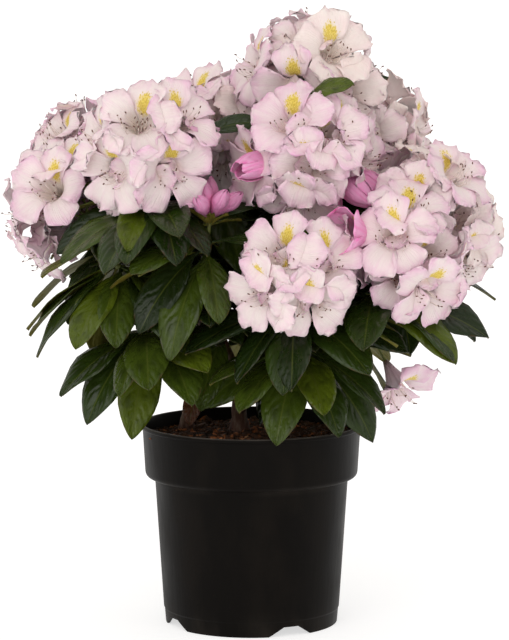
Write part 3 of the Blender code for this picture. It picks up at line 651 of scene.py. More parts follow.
# Shoots with a truss: (the bough or stem it grows from, the share of that limb where it leaves it),
# the heart of its truss, the way the shoot leans, and its flowers, each (turn, rise), and leaves, each
# (turn, rise, roll), that face the viewer. The others are dealt out evenly round the shoot.
SHOOTS = {
    "top": (
        ("main_stem", 1.0),
        (0.057, 0.000, 0.547),
        (20, 84),
        ((24, 24), (-15, -9), (38, -14), (-72, 16), (140, 80), (92, 12)),
        (),
    ),
    "left_front": (
        ("side_stem", 1.0),
        (-0.097, -0.070, 0.480),
        (-15, 76),
        ((-11, 28), (37, 33), (20, -15), (-36, -13), (-72, 20)),
        ((-90, -17, 45), (-102, -28, 40), (-25, -29, 5), (14, -30, 0)),
    ),
    "front": (
        ("main_stem", 0.72),
        (0.045, -0.105, 0.366),
        (6, 52),
        ((12, -27), (-36, -16), (-17, 22), (24, 16)),
        ((40, -24, 15), (-70, -20, 20), (86, -20, 30)),
    ),
    "right_front": (
        ("main_stem", 0.9),
        (0.144, -0.080, 0.379),
        (42, 50),
        ((-10, 19), (30, -31), (14, 52)),
        ((84, -19, 35), (58, -36, 25), (-40, -6, 0)),
    ),
    "left_outer": (
        ("left_front", 0.25),
        (-0.175, 0.016, 0.414),
        (-80, 40),
        ((-24, 22), (-86, -8), (-74, -42), (-50, 62)),
        ((-106, -24, 0), (-118, -6, 0)),
    ),
    "middle": (
        ("top", 0.42),
        (0.052, -0.055, 0.475),
        (-5, 58),
        ((-17, 31), (22, 20), (3, -9), (-8, -40)),
        ((50, 5, 20), (-70, -10, 20)),
    ),
    "right_outer": (
        ("right_front", 0.4),
        (0.178, 0.022, 0.392),
        (92, 38),
        ((42, -26), (30, 30), (62, 2)),
        ((80, -38, 30), (100, -20, 0)),
    ),
    "right_upper": (
        ("top", 0.55),
        (0.108, 0.048, 0.488),
        (70, 68),
        ((17, 22), (-20, 4), (78, 4)),
        ((60, -30, 20), (100, -20, 0)),
    ),
    "right_middle": (
        ("right_outer", 0.5),
        (0.165, -0.030, 0.418),
        (58, 60),
        ((-21, 22), (18, 4), (52, 40)),
        (),
    ),
    "left_behind": (
        ("side_stem", 0.8),
        (-0.033, 0.060, 0.487),
        (150, 78),
        ((11, 14), (40, 27), (12, -24), (-42, 48)),
        ((20, -40, 10),),
    ),
    "left_back": (("left_outer", 0.45), (-0.155, 0.085, 0.450), (-125, 62), ((-60, 45),), ()),
    "buds": (
        ("side_stem", 0.62),
        (-0.040, -0.078, 0.408),
        (18, 72),
        (),
        ((28, -59, 5), (-34, -58, 10), (-70, -50, 40)),
    ),
    "back_left": (("main_stem", 0.8), (-0.110, 0.150, 0.415), (-145, 48), (), ()),
    "back_middle": (("back_left", 0.4), (0.010, 0.160, 0.455), (178, 62), (), ()),
    "back_right": (("back_middle", 0.35), (0.125, 0.140, 0.420), (138, 50), (), ()),
    "right_low": (
        ("right_front", 0.22),
        (0.124, 0.025, 0.278),
        (80, -18),
        ((45, -52),),
        ((74, -62, 10),),
    ),
}
BUD_SHOOT = "buds"
SPARSE_SHOOT = "right_low"

# Leafy shoots with no flowers: the limb they grow from, the place and lean of their tip, their leaves
LEAFY_SHOOTS = {
    "low_left": (
        ("side_stem", 0.9),
        (-0.143, -0.030, 0.362),
        (-70, 20),
        ((-32, -40, 0), (-158, -61, 0), (40, -38, 10), (-102, -20, 0)),
    ),
    "low_inner": (
        ("side_stem", 0.5),
        (-0.112, -0.030, 0.298),
        (-60, 10),
        ((-22, -60, 50), (-156, -20, 0), (22, -30, 0), (172, -24, 0)),
    ),
    "low_front": (
        ("main_stem", 0.5),
        (0.053, -0.050, 0.285),
        (25, 25),
        ((-78, -30, 45), (80, -52, 50), (14, -28, 0), (-18, -46, 10), (-150, -48, 80)),
    ),
    "low_back": (("main_stem", 0.6), (0.030, 0.125, 0.318), (165, 22), ((150, -40, 0), (-150, -44, 0))),
}

BARK_RED = (0.082, 0.034, 0.021, 1.0)
BARK_GREY = (0.19, 0.135, 0.10, 1.0)
BARK_DARK = (0.026, 0.013, 0.009, 1.0)
BARK_FLAKES = (210.0, 4.0, (1.0, 1.0, 0.35))
BARK_PATCHES = (38.0, 2.0)


def aim(turn, rise):
    """The unit vector that points this way."""
    turn, rise = math.radians(turn), math.radians(rise)
    return Vector((math.sin(turn) * math.cos(rise), -math.cos(turn) * math.cos(rise), math.sin(rise)))


def facing(forward, roll=0.0):
    """The turn that takes +Z to forward and keeps +Y as near up as it can be."""
    side = UP.cross(forward)
    if side.length < NEAR_UPRIGHT:
        side = Vector((1, 0, 0))
    side.normalize()
    columns = Matrix((side, forward.cross(side), forward)).transposed()
    return columns @ Matrix.Rotation(math.radians(roll), 3, "Z")


class Limb:
    """A tapering limb: the points and radii that its forks leave from, and a smooth path to draw."""

    def __init__(self, points, radii, path, girths):
        self.points = points
        self.radii = radii
        self.path = path
        self.girths = girths

    def at(self, share):
        """The place, way and radius at this share of the path."""
        last = len(self.points) - 1
        index = min(int(share * last), last - 1)
        part = share * last - index
        first, second = self.points[index], self.points[index + 1]
        radius = self.radii[index] * (1 - part) + self.radii[index + 1] * part
        return first.lerp(second, part), (second - first).normalized(), radius


def bezier(start, first, second, end, steps):
    """Points along a cubic curve."""
    places = []
    for step in range(steps + 1):
        t = step / steps
        u = 1 - t
        places.append(start * u**3 + first * 3 * u * u * t + second * 3 * u * t * t + end * t**3)
    return places


def stem_limb(name):
    """A stem with its flare, from inside the compost to its tip."""
    (foot, middle, tip), foot_radius, tip_radius = STEMS[name]
    foot = Vector((*foot, SOIL_TOP + GAP))
    middle, tip = Vector(middle), Vector(tip)
    above = foot + UP * FLARE_HEIGHT / 2

    def radius_at(place):
        share = (place.z - foot.z) / (tip.z - foot.z)
        flare = (FLARE - 1) * max(0.0, 1 - (place.z - foot.z) / FLARE_HEIGHT)
        return (foot_radius + (tip_radius - foot_radius) * share) * (1 + flare)

    bend = (above, above + UP * STEM_RISE, middle, tip)
    points = [foot] + bezier(*bend, STEM_STEPS)
    below = [foot - UP * SUNK, foot, foot + UP * FLARE_HEIGHT / 4]
    path = below + bezier(*bend, STEM_STEPS * STEM_FINENESS)
    return Limb(points, [radius_at(place) for place in points], path, [radius_at(place) for place in path])


def bough_limb(parent, share, end, lean, straight):
    """A bough that leaves its parent limb, and ends in a straight stretch where its shoot begins."""
    start, way, radius = parent.at(share)
    goes_on = share >= 1.0
    if goes_on:
        start = start + way * GAP
    span = (end - start).length
    out = (end - start).normalized()
    leaving = way if goes_on else (way + out * FORK_OUTWARD).normalized()
    first = start + leaving * span * LEAVING_HANDLE
    second = end - lean * span * ARRIVING_HANDLE
    bend = (start, first, second, end - lean * straight)
    thick = radius * (1.0 if goes_on else FORK_THICKNESS)
    last = BOUGH_STEPS + 1

    def radius_at(share):
        return thick + (BOUGH_TIP_RADIUS - thick) * share**BOUGH_TAPER

    points = bezier(*bend, BOUGH_STEPS) + [end]
    radii = [radius_at(step / last) for step in range(last + 1)]
    path = bezier(*bend, BOUGH_STEPS * FINE_STEPS) + [end]
    shares = [step / (last * FINE_STEPS) for step in range(len(path) - 1)] + [1.0]
    girths = []
    for share_here, place in zip(shares, path):
        collar = 0.0 if goes_on else COLLAR_SWELL * math.exp(-(place - start).length / thick / COLLAR_REACH)
        girths.append(radius_at(share_here) * (1 + collar))
    return Limb(points, radii, path, girths)


def stalk_length(name):
    """How far the heart of a truss is above its leaves."""
    return BUD_STALK_LENGTH if name == BUD_SHOOT else STALK_LENGTH


def grown_limbs():
    """Every stem, bough and low twig by its name, as the solids have them."""
    limbs = {name: stem_limb(name) for name in STEMS}
    for name, ((parent, share), heart, lean, _, _) in SHOOTS.items():
        lean = aim(*lean)
        end = Vector(heart) - lean * (stalk_length(name) + SHOOT_LENGTH + GAP)
        carrier = limbs.get(parent) or limbs["bough_" + parent]
        limbs["bough_" + name] = bough_limb(carrier, share, end, lean, BOUGH_TIP_RADIUS)
    for name, ((parent, share), tip, lean, _) in LEAFY_SHOOTS.items():
        limbs["twig_" + name] = bough_limb(limbs[parent], share, Vector(tip), aim(*lean), SHOOT_LENGTH)
    return limbs


class Heap:
    """Many small closed shapes gathered into one mesh, with the spot of each corner on its finish."""

    def __init__(self):
        self.points = []
        self.faces = []
        self.spots = []
        self.count = 0

    def add(self, points, faces, spots=None):
        """One more shape. Its faces are rows of four corners."""
        self.points.append(points)
        self.faces.append(faces + self.count)
        self.spots.append(np.zeros((len(faces) * 4, 2)) if spots is None else spots)
        self.count += len(points)

    def add_tube(self, places, radii, sides, relief=None):
        """A round limb through these places, closed by a cone at each end."""
        places = [Vector(place) for place in places]
        along = [(after - before).normalized() for before, after in zip(places, places[1:])]
        along.append(along[-1])
        side = along[0].orthogonal().normalized()
        rings = []
        for index, place in enumerate(places):
            side = (side - along[index] * side.dot(along[index])).normalized()
            over = along[index].cross(side)
            angles = np.arange(sides) * math.tau / sides
            ring = np.outer(np.cos(angles), side) + np.outer(np.sin(angles), over)
            girth = radii[index] if relief is None else radii[index] * relief(place, ring)[:, None]
            rings.append(np.array(place) + ring * girth)
        tips = []
        for end, outward in ((0, -CONE_LENGTH), (-1, CONE_LENGTH)):
            tip = np.array(places[end] + along[end] * radii[end] * outward)
            tips.append(np.repeat([tip], sides, axis=0) * (1 - CONE_TIP) + rings[end] * CONE_TIP)
        points = np.concatenate([tips[0], *rings, tips[1]])
        self.add(points, tube_faces(len(rings) + 2, sides))

    def mesh(self, name):
        """Everything in the heap as one mesh."""
        points = np.concatenate(self.points)
        faces = np.concatenate(self.faces).astype(np.int32)
        mesh = bpy.data.meshes.new(name)
        mesh.vertices.add(len(points))
        mesh.vertices.foreach_set("co", points.astype(np.float32).ravel())
        mesh.loops.add(faces.size)
        mesh.loops.foreach_set("vertex_index", faces.ravel())
        mesh.polygons.add(len(faces))
        mesh.polygons.foreach_set("loop_start", np.arange(len(faces), dtype=np.int32) * 4)
        layer = mesh.uv_layers.new(name="OFBake")
        layer.data.foreach_set("uv", np.concatenate(self.spots).astype(np.float32).ravel())
        mesh.update(calc_edges=True)
        mesh.validate()
        return mesh

    def dress(self, name, finish, slot, nodes=()):
        """The heap as one dressed object."""
        dressed(name, self.mesh(name), finish, nodes)


def tube_faces(rings, sides):
    """The faces between rings of corners, with an even number of sides, and across both ends."""
    ring, side = np.meshgrid(np.arange(rings - 1), np.arange(sides), indexing="ij")
    low, high = ring * sides, (ring + 1) * sides
    after = (side + 1) % sides
    walls = np.stack((low + side, low + after, high + after, high + side), -1).reshape(-1, 4)
    strip = np.arange(sides // 2 - 1)
    lid = np.stack((strip, strip + 1, sides - 2 - strip, sides - 1 - strip), -1)
    return np.concatenate((walls, lid[:, ::-1], lid + (rings - 1) * sides))


def bark_relief(place, ring):
    """How much thicker the bark is round a limb, from its bumps and the swellings where leaves were."""
    swell = NODE_SWELL * max(0.0, math.cos(math.tau * place.z / NODE_STEP)) ** NODE_SHARPNESS
    bumps = [noise.noise((place + Vector(way) * BARK_REACH) * BARK_SCALE) for way in ring]
    return 1.0 + swell + BARK_DEPTH * np.array(bumps)


def bark_finish():
    """Reddish-brown bark under grey flakes that run along the limbs."""
    finish = Finish("flaking_bark", Roughness=0.78, Specular_IOR_Level=0.35)
    flakes = finish.grain(*BARK_FLAKES)
    patches = finish.grain(*BARK_PATCHES)
    body = finish.mix(BARK_RED, BARK_GREY, (flakes * 0.5 + patches * 0.5).between(0.46, 0.60) * 0.75)
    finish.drive("Base Color", finish.mix(body, BARK_DARK, 1.0 - flakes.between(0.30, 0.44)))
    finish.relief(flakes, BARK_BUMPS)
    return finish


limbs = grown_limbs()
bark = bark_finish()
for name, limb in limbs.items():
    if not name.startswith("twig_"):
        heap = Heap()
        heap.add_tube(limb.path, limb.girths, FINE_SIDES, bark_relief)
        heap.dress(name + "_bark", bark, "bark", [name])

# The places of the flowers and leaves: every whorl and truss is filled by the same rule, with the same
# dice, as its solid, so that each flower and leaf grows where the solid has it. Further flowers and
# leaves, which the solids are too plain for, then fill the room in between, within the same reach.
CLEARANCE = 0.0005
BOUGH_SIDES = 6
SHOOT_RADIUS = 0.0026
STALK_RADIUS = 0.0024
STALK_TAPER = 0.75
PEDICEL_SIDES = 3
PEDICEL_RADIUS = 0.0012
PEDICEL_LENGTH = 0.026
FUNNEL_LENGTH = 0.042
FUNNEL_DEPTH = 0.027
RIM_RADIUS = 0.038
RIM_LOBES = 5
LOBE_CORNERS = 3
LOBE_NOTCH = 0.76
LOBE_SET_BACK = 0.007
ROLL = 10
SHOWN_SPREAD = 24
SHOWN_CROWD = 2
FLOWER_SPREAD = 48
EVEN_CROWD = 1
EVEN_FLOWERS = 34
TRUSS_EDGE = 104
ROOT_STEP = 0.0024
ROOT_ROWS = 14
BUD_COUNT = 6
BUD_LENGTH = 0.034
BUD_RADIUS = 0.0062
BUD_SIDES = 6
BUD_RINGS = 4
BUD_REACH = 0.006
BUD_EDGE = 52
LEAF_LENGTH = 0.118
LEAF_HALF_WIDTH = 0.0220
LEAF_HALF_THICKNESS = 0.0009
LEAF_STATIONS = ((0.0, 0.0), (0.15, 0.10), (0.46, 0.97), (0.80, 0.80), (1.0, 0.0))
LEAF_SECTION = 4
LEAF_FOLD = 0.20
LEAF_DROOP = 34
LEAF_SIZES = (0.92, 1.06)
WHORL_LEAVES = 7
WHORL_JITTER = 0.2
LEAF_SPREAD = 34
LEAF_RISE = 14
LEAF_TILT = 34
LEAF_SAG = 22
LEAF_ROLL = 25
LOWEST_LEAF = 0.3
GOLDEN = 0.618
TRIES = 7
JITTER = 11
SHRINK = 0.025
PATIENCE = 3
CROWN_HEART = Vector((0, 0.01, 0.36))
INWARD_LIMIT = -0.25
LEAFY_SEED = 100
SAME_SPOT = 0.000001

# Old leaves on the bare wood inside the crown. For each limb: how many are tried at each place, how steeply
# they hang, and how low they may reach
INNER_SHARES = (0.2, 0.35, 0.5, 0.65, 0.8, 0.92)
BOUGH_LEAVES = (16, (-50, 20), 0.275)
STEM_LEAVES = (14, (-80, -25), 0.203)
INNER_SPREAD = 32
INNER_SIZES = (0.50, 0.80)
INNER_SEED = 700

# Leaves that peep out between the trusses: their root, then their way, roll and length
PEEPING_LEAVES = (
    (Vector((0.046, -0.076, 0.524)), 60, 14, 50, 0.062),
    (Vector((0.062, 0.006, 0.500)), 108, 27, 30, 0.088),
    (Vector((-0.052, -0.045, 0.484)), 92, 14, 50, 0.064),
    (Vector((-0.026, 0.000, 0.292)), -24, -52, 10, 0.095),
)

# Dry leaves that hang by the stems, in the same terms
DRY_LEAVES = (
    (Vector((-0.050, 0.004, 0.243)), -28, -62, 20, 0.052),
    (Vector((-0.086, -0.030, 0.300)), 12, -66, 30, 0.056),
)

# The further flowers come in two rounds: how far apart they are, how many others each may cross, their size
FLOWER_FILLINGS = ((25, 4, 0.88), (22, 8, 0.74))
FILL_WAYS = 110
FILL_LEAVES = 18
FILL_LEAF_SPREAD = 18
FILL_SEED = 500

# Closed and half-open flowers: the shoot and, for each that is shown, its way, how far it is open, its size
SHOWN_BUDS = {
    "middle": ((-50, -12, 0.15, 1.0), (62, -36, 0.08, 1.05), (88, -30, 0.12, 1.05), (48, -56, 0.05, 0.9)),
    "right_front": ((-50, 16, 0.45, 1.0),),
    "left_front": ((15, 12, 0.05, 0.8),),
}
SCALE_COUNT = 7
SCALE_JITTER = 0.2
SCALE_RISES = (-5, 35)
SCALE_SIZES = (0.20, 0.30)
SCALE_SINK = 0.006
BUD_SINK = 0.013
BUD_SIZE = 0.64
BUD_OPENED = 0.06


class Piece:
    """A closed coarse shape, to keep others clear of it."""

    def __init__(self, sheet):
        bmesh.ops.triangulate(sheet, faces=sheet.faces[:])
        sheet.normal_update()
        sheet.verts.index_update()
        points = [corner.co.copy() for corner in sheet.verts]
        faces = [[corner.index for corner in face.verts] for face in sheet.faces]
        swollen = [corner.co + corner.normal * CLEARANCE for corner in sheet.verts]
        self.skins = [BVHTree.FromPolygons(skin, faces) for skin in (points, swollen)]
        self.low = Vector(map(min, zip(*swollen)))
        self.high = Vector(map(max, zip(*swollen)))
        sheet.free()

    def meets(self, other):
        """Whether the two shapes touch, as they are or slightly swollen."""
        for axis in range(3):
            if self.high[axis] < other.low[axis] or other.high[axis] < self.low[axis]:
                return False
        return any(skin.overlap(there) for skin in self.skins for there in other.skins)


class Room:
    """The pieces that stand already, so that a new one stays clear of every other node's."""

    def __init__(self):
        self.taken = []

    def is_free(self, piece, node):
        """Whether the piece is clear of every node but its own."""
        return not any(other != node and piece.meets(there) for other, there in self.taken)

    def is_clear(self, piece, kinds):
        """Whether the piece is clear of every node of these kinds."""
        return not any(other.startswith(kinds) and piece.meets(there) for other, there in self.taken)

    def take(self, piece, node):
        """Keeps the piece's place for its node."""
        self.taken.append((node, piece))


def joined(mesh):
    """A sheet of this mesh, with its loose faces joined."""
    sheet = bmesh.new()
    sheet.from_mesh(mesh)
    bmesh.ops.remove_doubles(sheet, verts=sheet.verts[:], dist=SAME_SPOT)
    return sheet


def twig_piece(limb):
    """A low twig, to keep others clear of it."""
    curve = bpy.data.curves.new("twig", "CURVE")
    curve.dimensions = "3D"
    curve.bevel_depth = 1.0
    curve.bevel_resolution = (BOUGH_SIDES - 4) // 2
    curve.use_fill_caps = True
    path = curve.splines.new("POLY")
    path.points.add(len(limb.points) - 1)
    for point, place, radius in zip(path.points, limb.points, limb.radii):
        point.co = (*place, 1.0)
        point.radius = radius
    sheet = joined(evaluated(placed("twig", curve)))
    bmesh.ops.recalc_face_normals(sheet, faces=sheet.faces[:])
    return Piece(sheet)


def stem_piece(start, end, radii):
    """A straight tapering shoot or stalk."""
    along = end - start
    place = Matrix.Translation((start + end) / 2) @ facing(along.normalized()).to_4x4()
    sheet = bmesh.new()
    add_cone(sheet, BOUGH_SIDES, radii, along.length, place)
    return Piece(sheet)


def bud_piece(root, way):
    """An egg-shaped bud at the end of its own length from its root."""
    sheet = bmesh.new()
    size = Matrix.Diagonal((BUD_RADIUS, BUD_RADIUS, BUD_LENGTH / 2, 1.0))
    place = Matrix.Translation(root + way * (BUD_REACH + BUD_LENGTH / 2)) @ facing(way).to_4x4() @ size
    bmesh.ops.create_uvsphere(sheet, u_segments=BUD_SIDES, v_segments=BUD_RINGS, radius=1.0, matrix=place)
    return Piece(sheet)


def leaf_piece(root, turn, rise, roll, length):
    """A leaf whose midrib leaves its root this way and droops, rolled to show its upper side."""
    level = aim(turn, 0)
    side = level.cross(UP)
    start = math.radians(rise + LEAF_DROOP / 2)
    bend = math.radians(LEAF_DROOP)
    ribs = []
    place = root.copy()
    before = 0.0
    for share, _ in LEAF_STATIONS:
        angle = start - bend * (share + before) / 2
        place = place + (level * math.cos(angle) + UP * math.sin(angle)) * (share - before) * length
        angle = start - bend * share
        along = level * math.cos(angle) + UP * math.sin(angle)
        over = UP * math.cos(angle) - level * math.sin(angle)
        towards = 1 if along.cross(over).y < 0 else -1
        rolled = Matrix.Rotation(math.radians(roll * min(1.0, 2 * share)) * towards, 3, along)
        ribs.append((place.copy(), rolled @ side, rolled @ over))
        before = share
    stations = len(LEAF_STATIONS)
    sheet = bmesh.new()
    bmesh.ops.create_uvsphere(sheet, u_segments=LEAF_SECTION, v_segments=stations - 1, radius=1.0)
    heights = sorted({round(corner.co.z, 3) for corner in sheet.verts})
    for corner in sheet.verts:
        index = heights.index(round(corner.co.z, 3))
        place, side, over = ribs[index]
        ring = math.hypot(corner.co.x, corner.co.y)
        if index in (0, stations - 1):
            corner.co = place
            continue
        across, above = corner.co.x / ring, corner.co.y / ring
        half = LEAF_STATIONS[index][1] * LEAF_HALF_WIDTH * length / LEAF_LENGTH
        lift = abs(across) * half * LEAF_FOLD + above * LEAF_HALF_THICKNESS
        corner.co = place + side * across * half + over * lift
    bmesh.ops.recalc_face_normals(sheet, faces=sheet.faces[:])
    return Piece(sheet)


def flower_piece(root, way, size, roll):
    """A flower on its pedicel: a three-sided stalk that widens into a funnel with a five-lobed rim."""
    place = Matrix.Translation(root) @ facing(way, roll).to_4x4()
    sheet = bmesh.new()

    def corner(angle, radius, height):
        across = Vector((-math.sin(angle), math.cos(angle), 0)) * radius
        return sheet.verts.new(place @ (across + UP * height))

    base = PEDICEL_LENGTH * size
    rim_height = base + FUNNEL_LENGTH * size
    rim_steps = LOBE_CORNERS * RIM_LOBES
    rim = []
    for step in range(rim_steps):
        notch = step % LOBE_CORNERS == 1
        radius = RIM_RADIUS * size * (LOBE_NOTCH if notch else 1.0)
        set_back = LOBE_SET_BACK * size if notch else 0.0
        rim.append(corner(math.tau * (step + 0.5) / rim_steps, radius, rim_height - set_back))
    sides = range(PEDICEL_SIDES)
    foot = [corner(math.tau * side / PEDICEL_SIDES, PEDICEL_RADIUS, 0.0) for side in sides]
    neck = [corner(math.tau * side / PEDICEL_SIDES, PEDICEL_RADIUS, base) for side in sides]
    throat = corner(0.0, 0.0, rim_height - FUNNEL_DEPTH * size)
    sheet.faces.new(foot)
    for side in sides:
        after = (side + 1) % PEDICEL_SIDES
        sheet.faces.new((foot[side], foot[after], neck[after], neck[side]))
    nearest = []
    for step in range(1, rim_steps + 1):
        nearest.append(neck[round(step * PEDICEL_SIDES / rim_steps) % PEDICEL_SIDES])
    for step in range(rim_steps):
        after = (step + 1) % rim_steps
        sheet.faces.new((rim[step], rim[after], throat))
        sheet.faces.new((rim[step], rim[after], nearest[step]))
        if nearest[step] != nearest[after]:
            sheet.faces.new((rim[after], nearest[step], nearest[after]))
    bmesh.ops.recalc_face_normals(sheet, faces=sheet.faces[:])
    return Piece(sheet)


def even_ways(lean, count, edge, phase):
    """Directions spread evenly over the cap within edge degrees of a lean, the middle ones first."""
    turn = facing(lean)
    top = 1 - math.cos(math.radians(edge))
    for index in range(count):
        height = 1 - top * (index + 0.5) / count
        ring = math.sqrt(max(0.0, 1 - height * height))
        angle = phase + index * math.pi * (3 - math.sqrt(5))
        yield turn @ Vector((ring * math.cos(angle), ring * math.sin(angle), height))


def is_near(way, others, spread):
    """Whether the way is within spread degrees of another one."""
    return any(math.degrees(way.angle(other)) < spread for other in others)


class Shoot:
    """The tip of a bough: a whorl of leaves round its stem, and a truss of flowers on a stalk above."""

    def __init__(self, name, seed, stem, foot, tip, room):
        self.name = name
        self.truss_name = "truss_" + name
        self.whorl_name = "leaves_" + name
        self.dice = random.Random(seed)
        self.foot = foot
        self.tip = tip
        self.lean = (tip - foot).normalized()
        self.room = room
        self.heart = None
        self.leaf_ways = []
        self.leaf_places = []
        self.flowers = []
        self.flower_ways = []
        self.flower_places = []
        self.bud_places = []
        self.scale_places = []
        room.take(stem, self.whorl_name)

    def add_stalk(self, heart):
        """The stalk of the truss, which starts a gap above the shoot's stem."""
        start = self.tip + self.lean * GAP
        self.heart = heart
        stalk = stem_piece(start, self.heart, (STALK_RADIUS, STALK_RADIUS * STALK_TAPER))
        self.room.take(stalk, self.truss_name)

    def add_flower(self, way, spread, crowd, full=1.0):
        """A flower this way, unless it is too near another of its truss or finds no room."""
        if is_near(way, self.flower_ways, spread):
            return
        for attempt in range(TRIES):
            size = full - SHRINK * attempt
            roll = self.dice.uniform(-ROLL, ROLL)
            root = self.heart - self.lean * ROOT_STEP * (1 + len(self.flower_ways) % ROOT_ROWS)
            flower = flower_piece(root, way, size, roll)
            crossed = sum(flower.meets(other) for other in self.flowers)
            if crossed <= crowd + attempt // PATIENCE and self.room.is_free(flower, self.truss_name):
                self.flowers.append(flower)
                self.flower_ways.append(way)
                self.flower_places.append((root, way, size, roll))
                self.room.take(flower, self.truss_name)
                return
            way = way + Vector([self.dice.uniform(-1, 1) for _ in range(3)]) * math.radians(JITTER)
            way.normalize()

    def add_even_flowers(self, count=EVEN_FLOWERS, spread=FLOWER_SPREAD, crowd=EVEN_CROWD, full=1.0):
        """The flowers that the first ones leave room for, all round the truss."""
        outward = (self.heart - CROWN_HEART).normalized()
        for way in even_ways(self.lean, count, TRUSS_EDGE, self.dice.uniform(0, math.tau)):
            if way.dot(outward) > INWARD_LIMIT:
                self.add_flower(way, spread, crowd, full)

    def add_buds(self):
        """Buds in a tight bunch, in place of flowers."""
        for way in even_ways(self.lean, BUD_COUNT, BUD_EDGE, self.dice.uniform(0, math.tau)):
            self.room.take(bud_piece(self.heart, way), self.truss_name)
            self.bud_places.append((self.heart - way * BUD_SINK, way, BUD_SIZE, 0.0, BUD_OPENED))

    def add_leaf(self, turn, rise, roll, spread):
        """A leaf this way, unless it is too near another of its whorl or finds no room."""
        way = aim(turn, rise)
        if is_near(way, self.leaf_ways, spread):
            return
        for attempt in range(TRIES):
            height = LOWEST_LEAF + (1 - 2 * LOWEST_LEAF) * ((len(self.leaf_ways) * GOLDEN) % 1.0)
            length = LEAF_LENGTH * self.dice.uniform(*LEAF_SIZES) * (1 - SHRINK * attempt)
            root = self.foot.lerp(self.tip, height)
            leaf = leaf_piece(root, turn, rise, roll, length)
            if self.room.is_free(leaf, self.whorl_name):
                self.leaf_ways.append(way)
                self.leaf_places.append((root, turn, rise, roll, length))
                self.room.take(leaf, self.whorl_name)
                return
            turn += self.dice.uniform(-JITTER, JITTER)
            rise -= self.dice.uniform(0, JITTER)

    def add_even_leaves(self, count=WHORL_LEAVES, spread=LEAF_SPREAD):
        """The leaves that the first ones leave room for, all round the shoot."""
        outward = math.degrees(math.atan2(self.lean.x, -self.lean.y))
        flat = math.hypot(self.lean.x, self.lean.y)
        for index in range(count):
            shift = self.dice.uniform(-WHORL_JITTER, WHORL_JITTER)
            turn = outward + 360 * (index + shift) / count
            tilt = math.cos(math.radians(turn - outward))
            rise = LEAF_RISE * self.lean.z - LEAF_TILT * flat * tilt - self.dice.uniform(0, LEAF_SAG)
            if aim(turn, rise).dot((self.tip - CROWN_HEART).normalized()) > INWARD_LIMIT:
                self.add_leaf(turn, rise, self.dice.uniform(-LEAF_ROLL, LEAF_ROLL), spread)

    def add_scales(self):
        """Small pale leaves that stand up round a bunch of buds."""
        for index in range(SCALE_COUNT):
            turn = 360 * (index + self.dice.uniform(-SCALE_JITTER, SCALE_JITTER)) / SCALE_COUNT
            rise = self.dice.uniform(*SCALE_RISES)
            root = self.heart - self.lean * SCALE_SINK
            length = LEAF_LENGTH * self.dice.uniform(*SCALE_SIZES)
            self.scale_places.append((root, turn, rise, 0, length))

    def fill_up(self, seed):
        """Smaller flowers and leaves in the room that is left."""
        self.dice = random.Random(seed)
        if self.name not in (BUD_SHOOT, SPARSE_SHOOT) and self.heart:
            for filling in FLOWER_FILLINGS:
                self.add_even_flowers(FILL_WAYS, *filling)
        self.add_even_leaves(FILL_LEAVES, FILL_LEAF_SPREAD)


def inner_leaves(limbs, room):
    """Places of old leaves along the boughs and the main stem, clear of every flower and whorl."""
    dice = random.Random(INNER_SEED)
    limb_rules = [("main_stem", STEM_LEAVES)] + [("bough_" + name, BOUGH_LEAVES) for name in SHOOTS]
    places = []
    for name, (count, rises, lowest) in limb_rules:
        for share in INNER_SHARES:
            root = limbs[name].at(share)[0]
            ways = []
            for _ in range(count):
                turn, rise = dice.uniform(0, 360), dice.uniform(*rises)
                place = (root, turn, rise, 0, LEAF_LENGTH * dice.uniform(*INNER_SIZES))
                way = aim(turn, rise)
                if is_near(way, ways, INNER_SPREAD):
                    continue
                leaf = leaf_piece(*place)
                if leaf.low.z > lowest and room.is_clear(leaf, ("truss_", "leaves_")):
                    ways.append(way)
                    places.append(place)
    return places


def start_shoots(limbs, room):
    """Each shoot's stem in its place, with the stalk of its truss if it has one."""
    shoots = {}
    for seed, (name, (_, heart, lean, _, _)) in enumerate(SHOOTS.items()):
        lean = aim(*lean)
        tip = Vector(heart) - lean * stalk_length(name)
        foot = tip - lean * SHOOT_LENGTH
        stem = stem_piece(foot, tip, (SHOOT_RADIUS, STALK_RADIUS))
        shoots[name] = Shoot(name, seed, stem, foot, tip, room)
        shoots[name].add_stalk(Vector(heart))
    for seed, (name, (_, tip, lean, _)) in enumerate(LEAFY_SHOOTS.items()):
        tip, lean = Vector(tip), aim(*lean)
        stem = twig_piece(limbs["twig_" + name])
        shoots[name] = Shoot(name, LEAFY_SEED + seed, stem, tip - lean * SHOOT_LENGTH, tip, room)
    return shoots


def fill_shoots(shoots):
    """The flowers, buds and leaves: first those that face the viewer, nearest first, then the rest."""
    front_first = sorted(SHOOTS, key=lambda name: SHOOTS[name][1][1])
    for name in front_first:
        for way in SHOOTS[name][3]:
            shoots[name].add_flower(aim(*way), SHOWN_SPREAD, SHOWN_CROWD)
    shoots[BUD_SHOOT].add_buds()
    for name in front_first + list(LEAFY_SHOOTS):
        for way in (SHOOTS.get(name) or LEAFY_SHOOTS[name])[-1]:
            shoots[name].add_leaf(*way, 0)
    for name in front_first:
        if name not in (BUD_SHOOT, SPARSE_SHOOT):
            shoots[name].add_even_flowers()
    for shoot in shoots.values():
        shoot.add_even_leaves()


room = Room()
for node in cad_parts:
    if not node.startswith(("leaves_", "truss_")):
        room.take(Piece(joined(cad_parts[node].data)), node)
shoots = start_shoots(limbs, room)
fill_shoots(shoots)
for name, shown in SHOWN_BUDS.items():
    for turn, rise, opened, size in shown:
        shoots[name].flower_ways.append(aim(turn, rise))
        shoots[name].bud_places.append((shoots[name].heart, aim(turn, rise), size, 0.0, opened))
for seed, shoot in enumerate(shoots.values()):
    shoot.fill_up(FILL_SEED + seed)
shoots[BUD_SHOOT].add_scales()
old_places = inner_leaves(limbs, room)

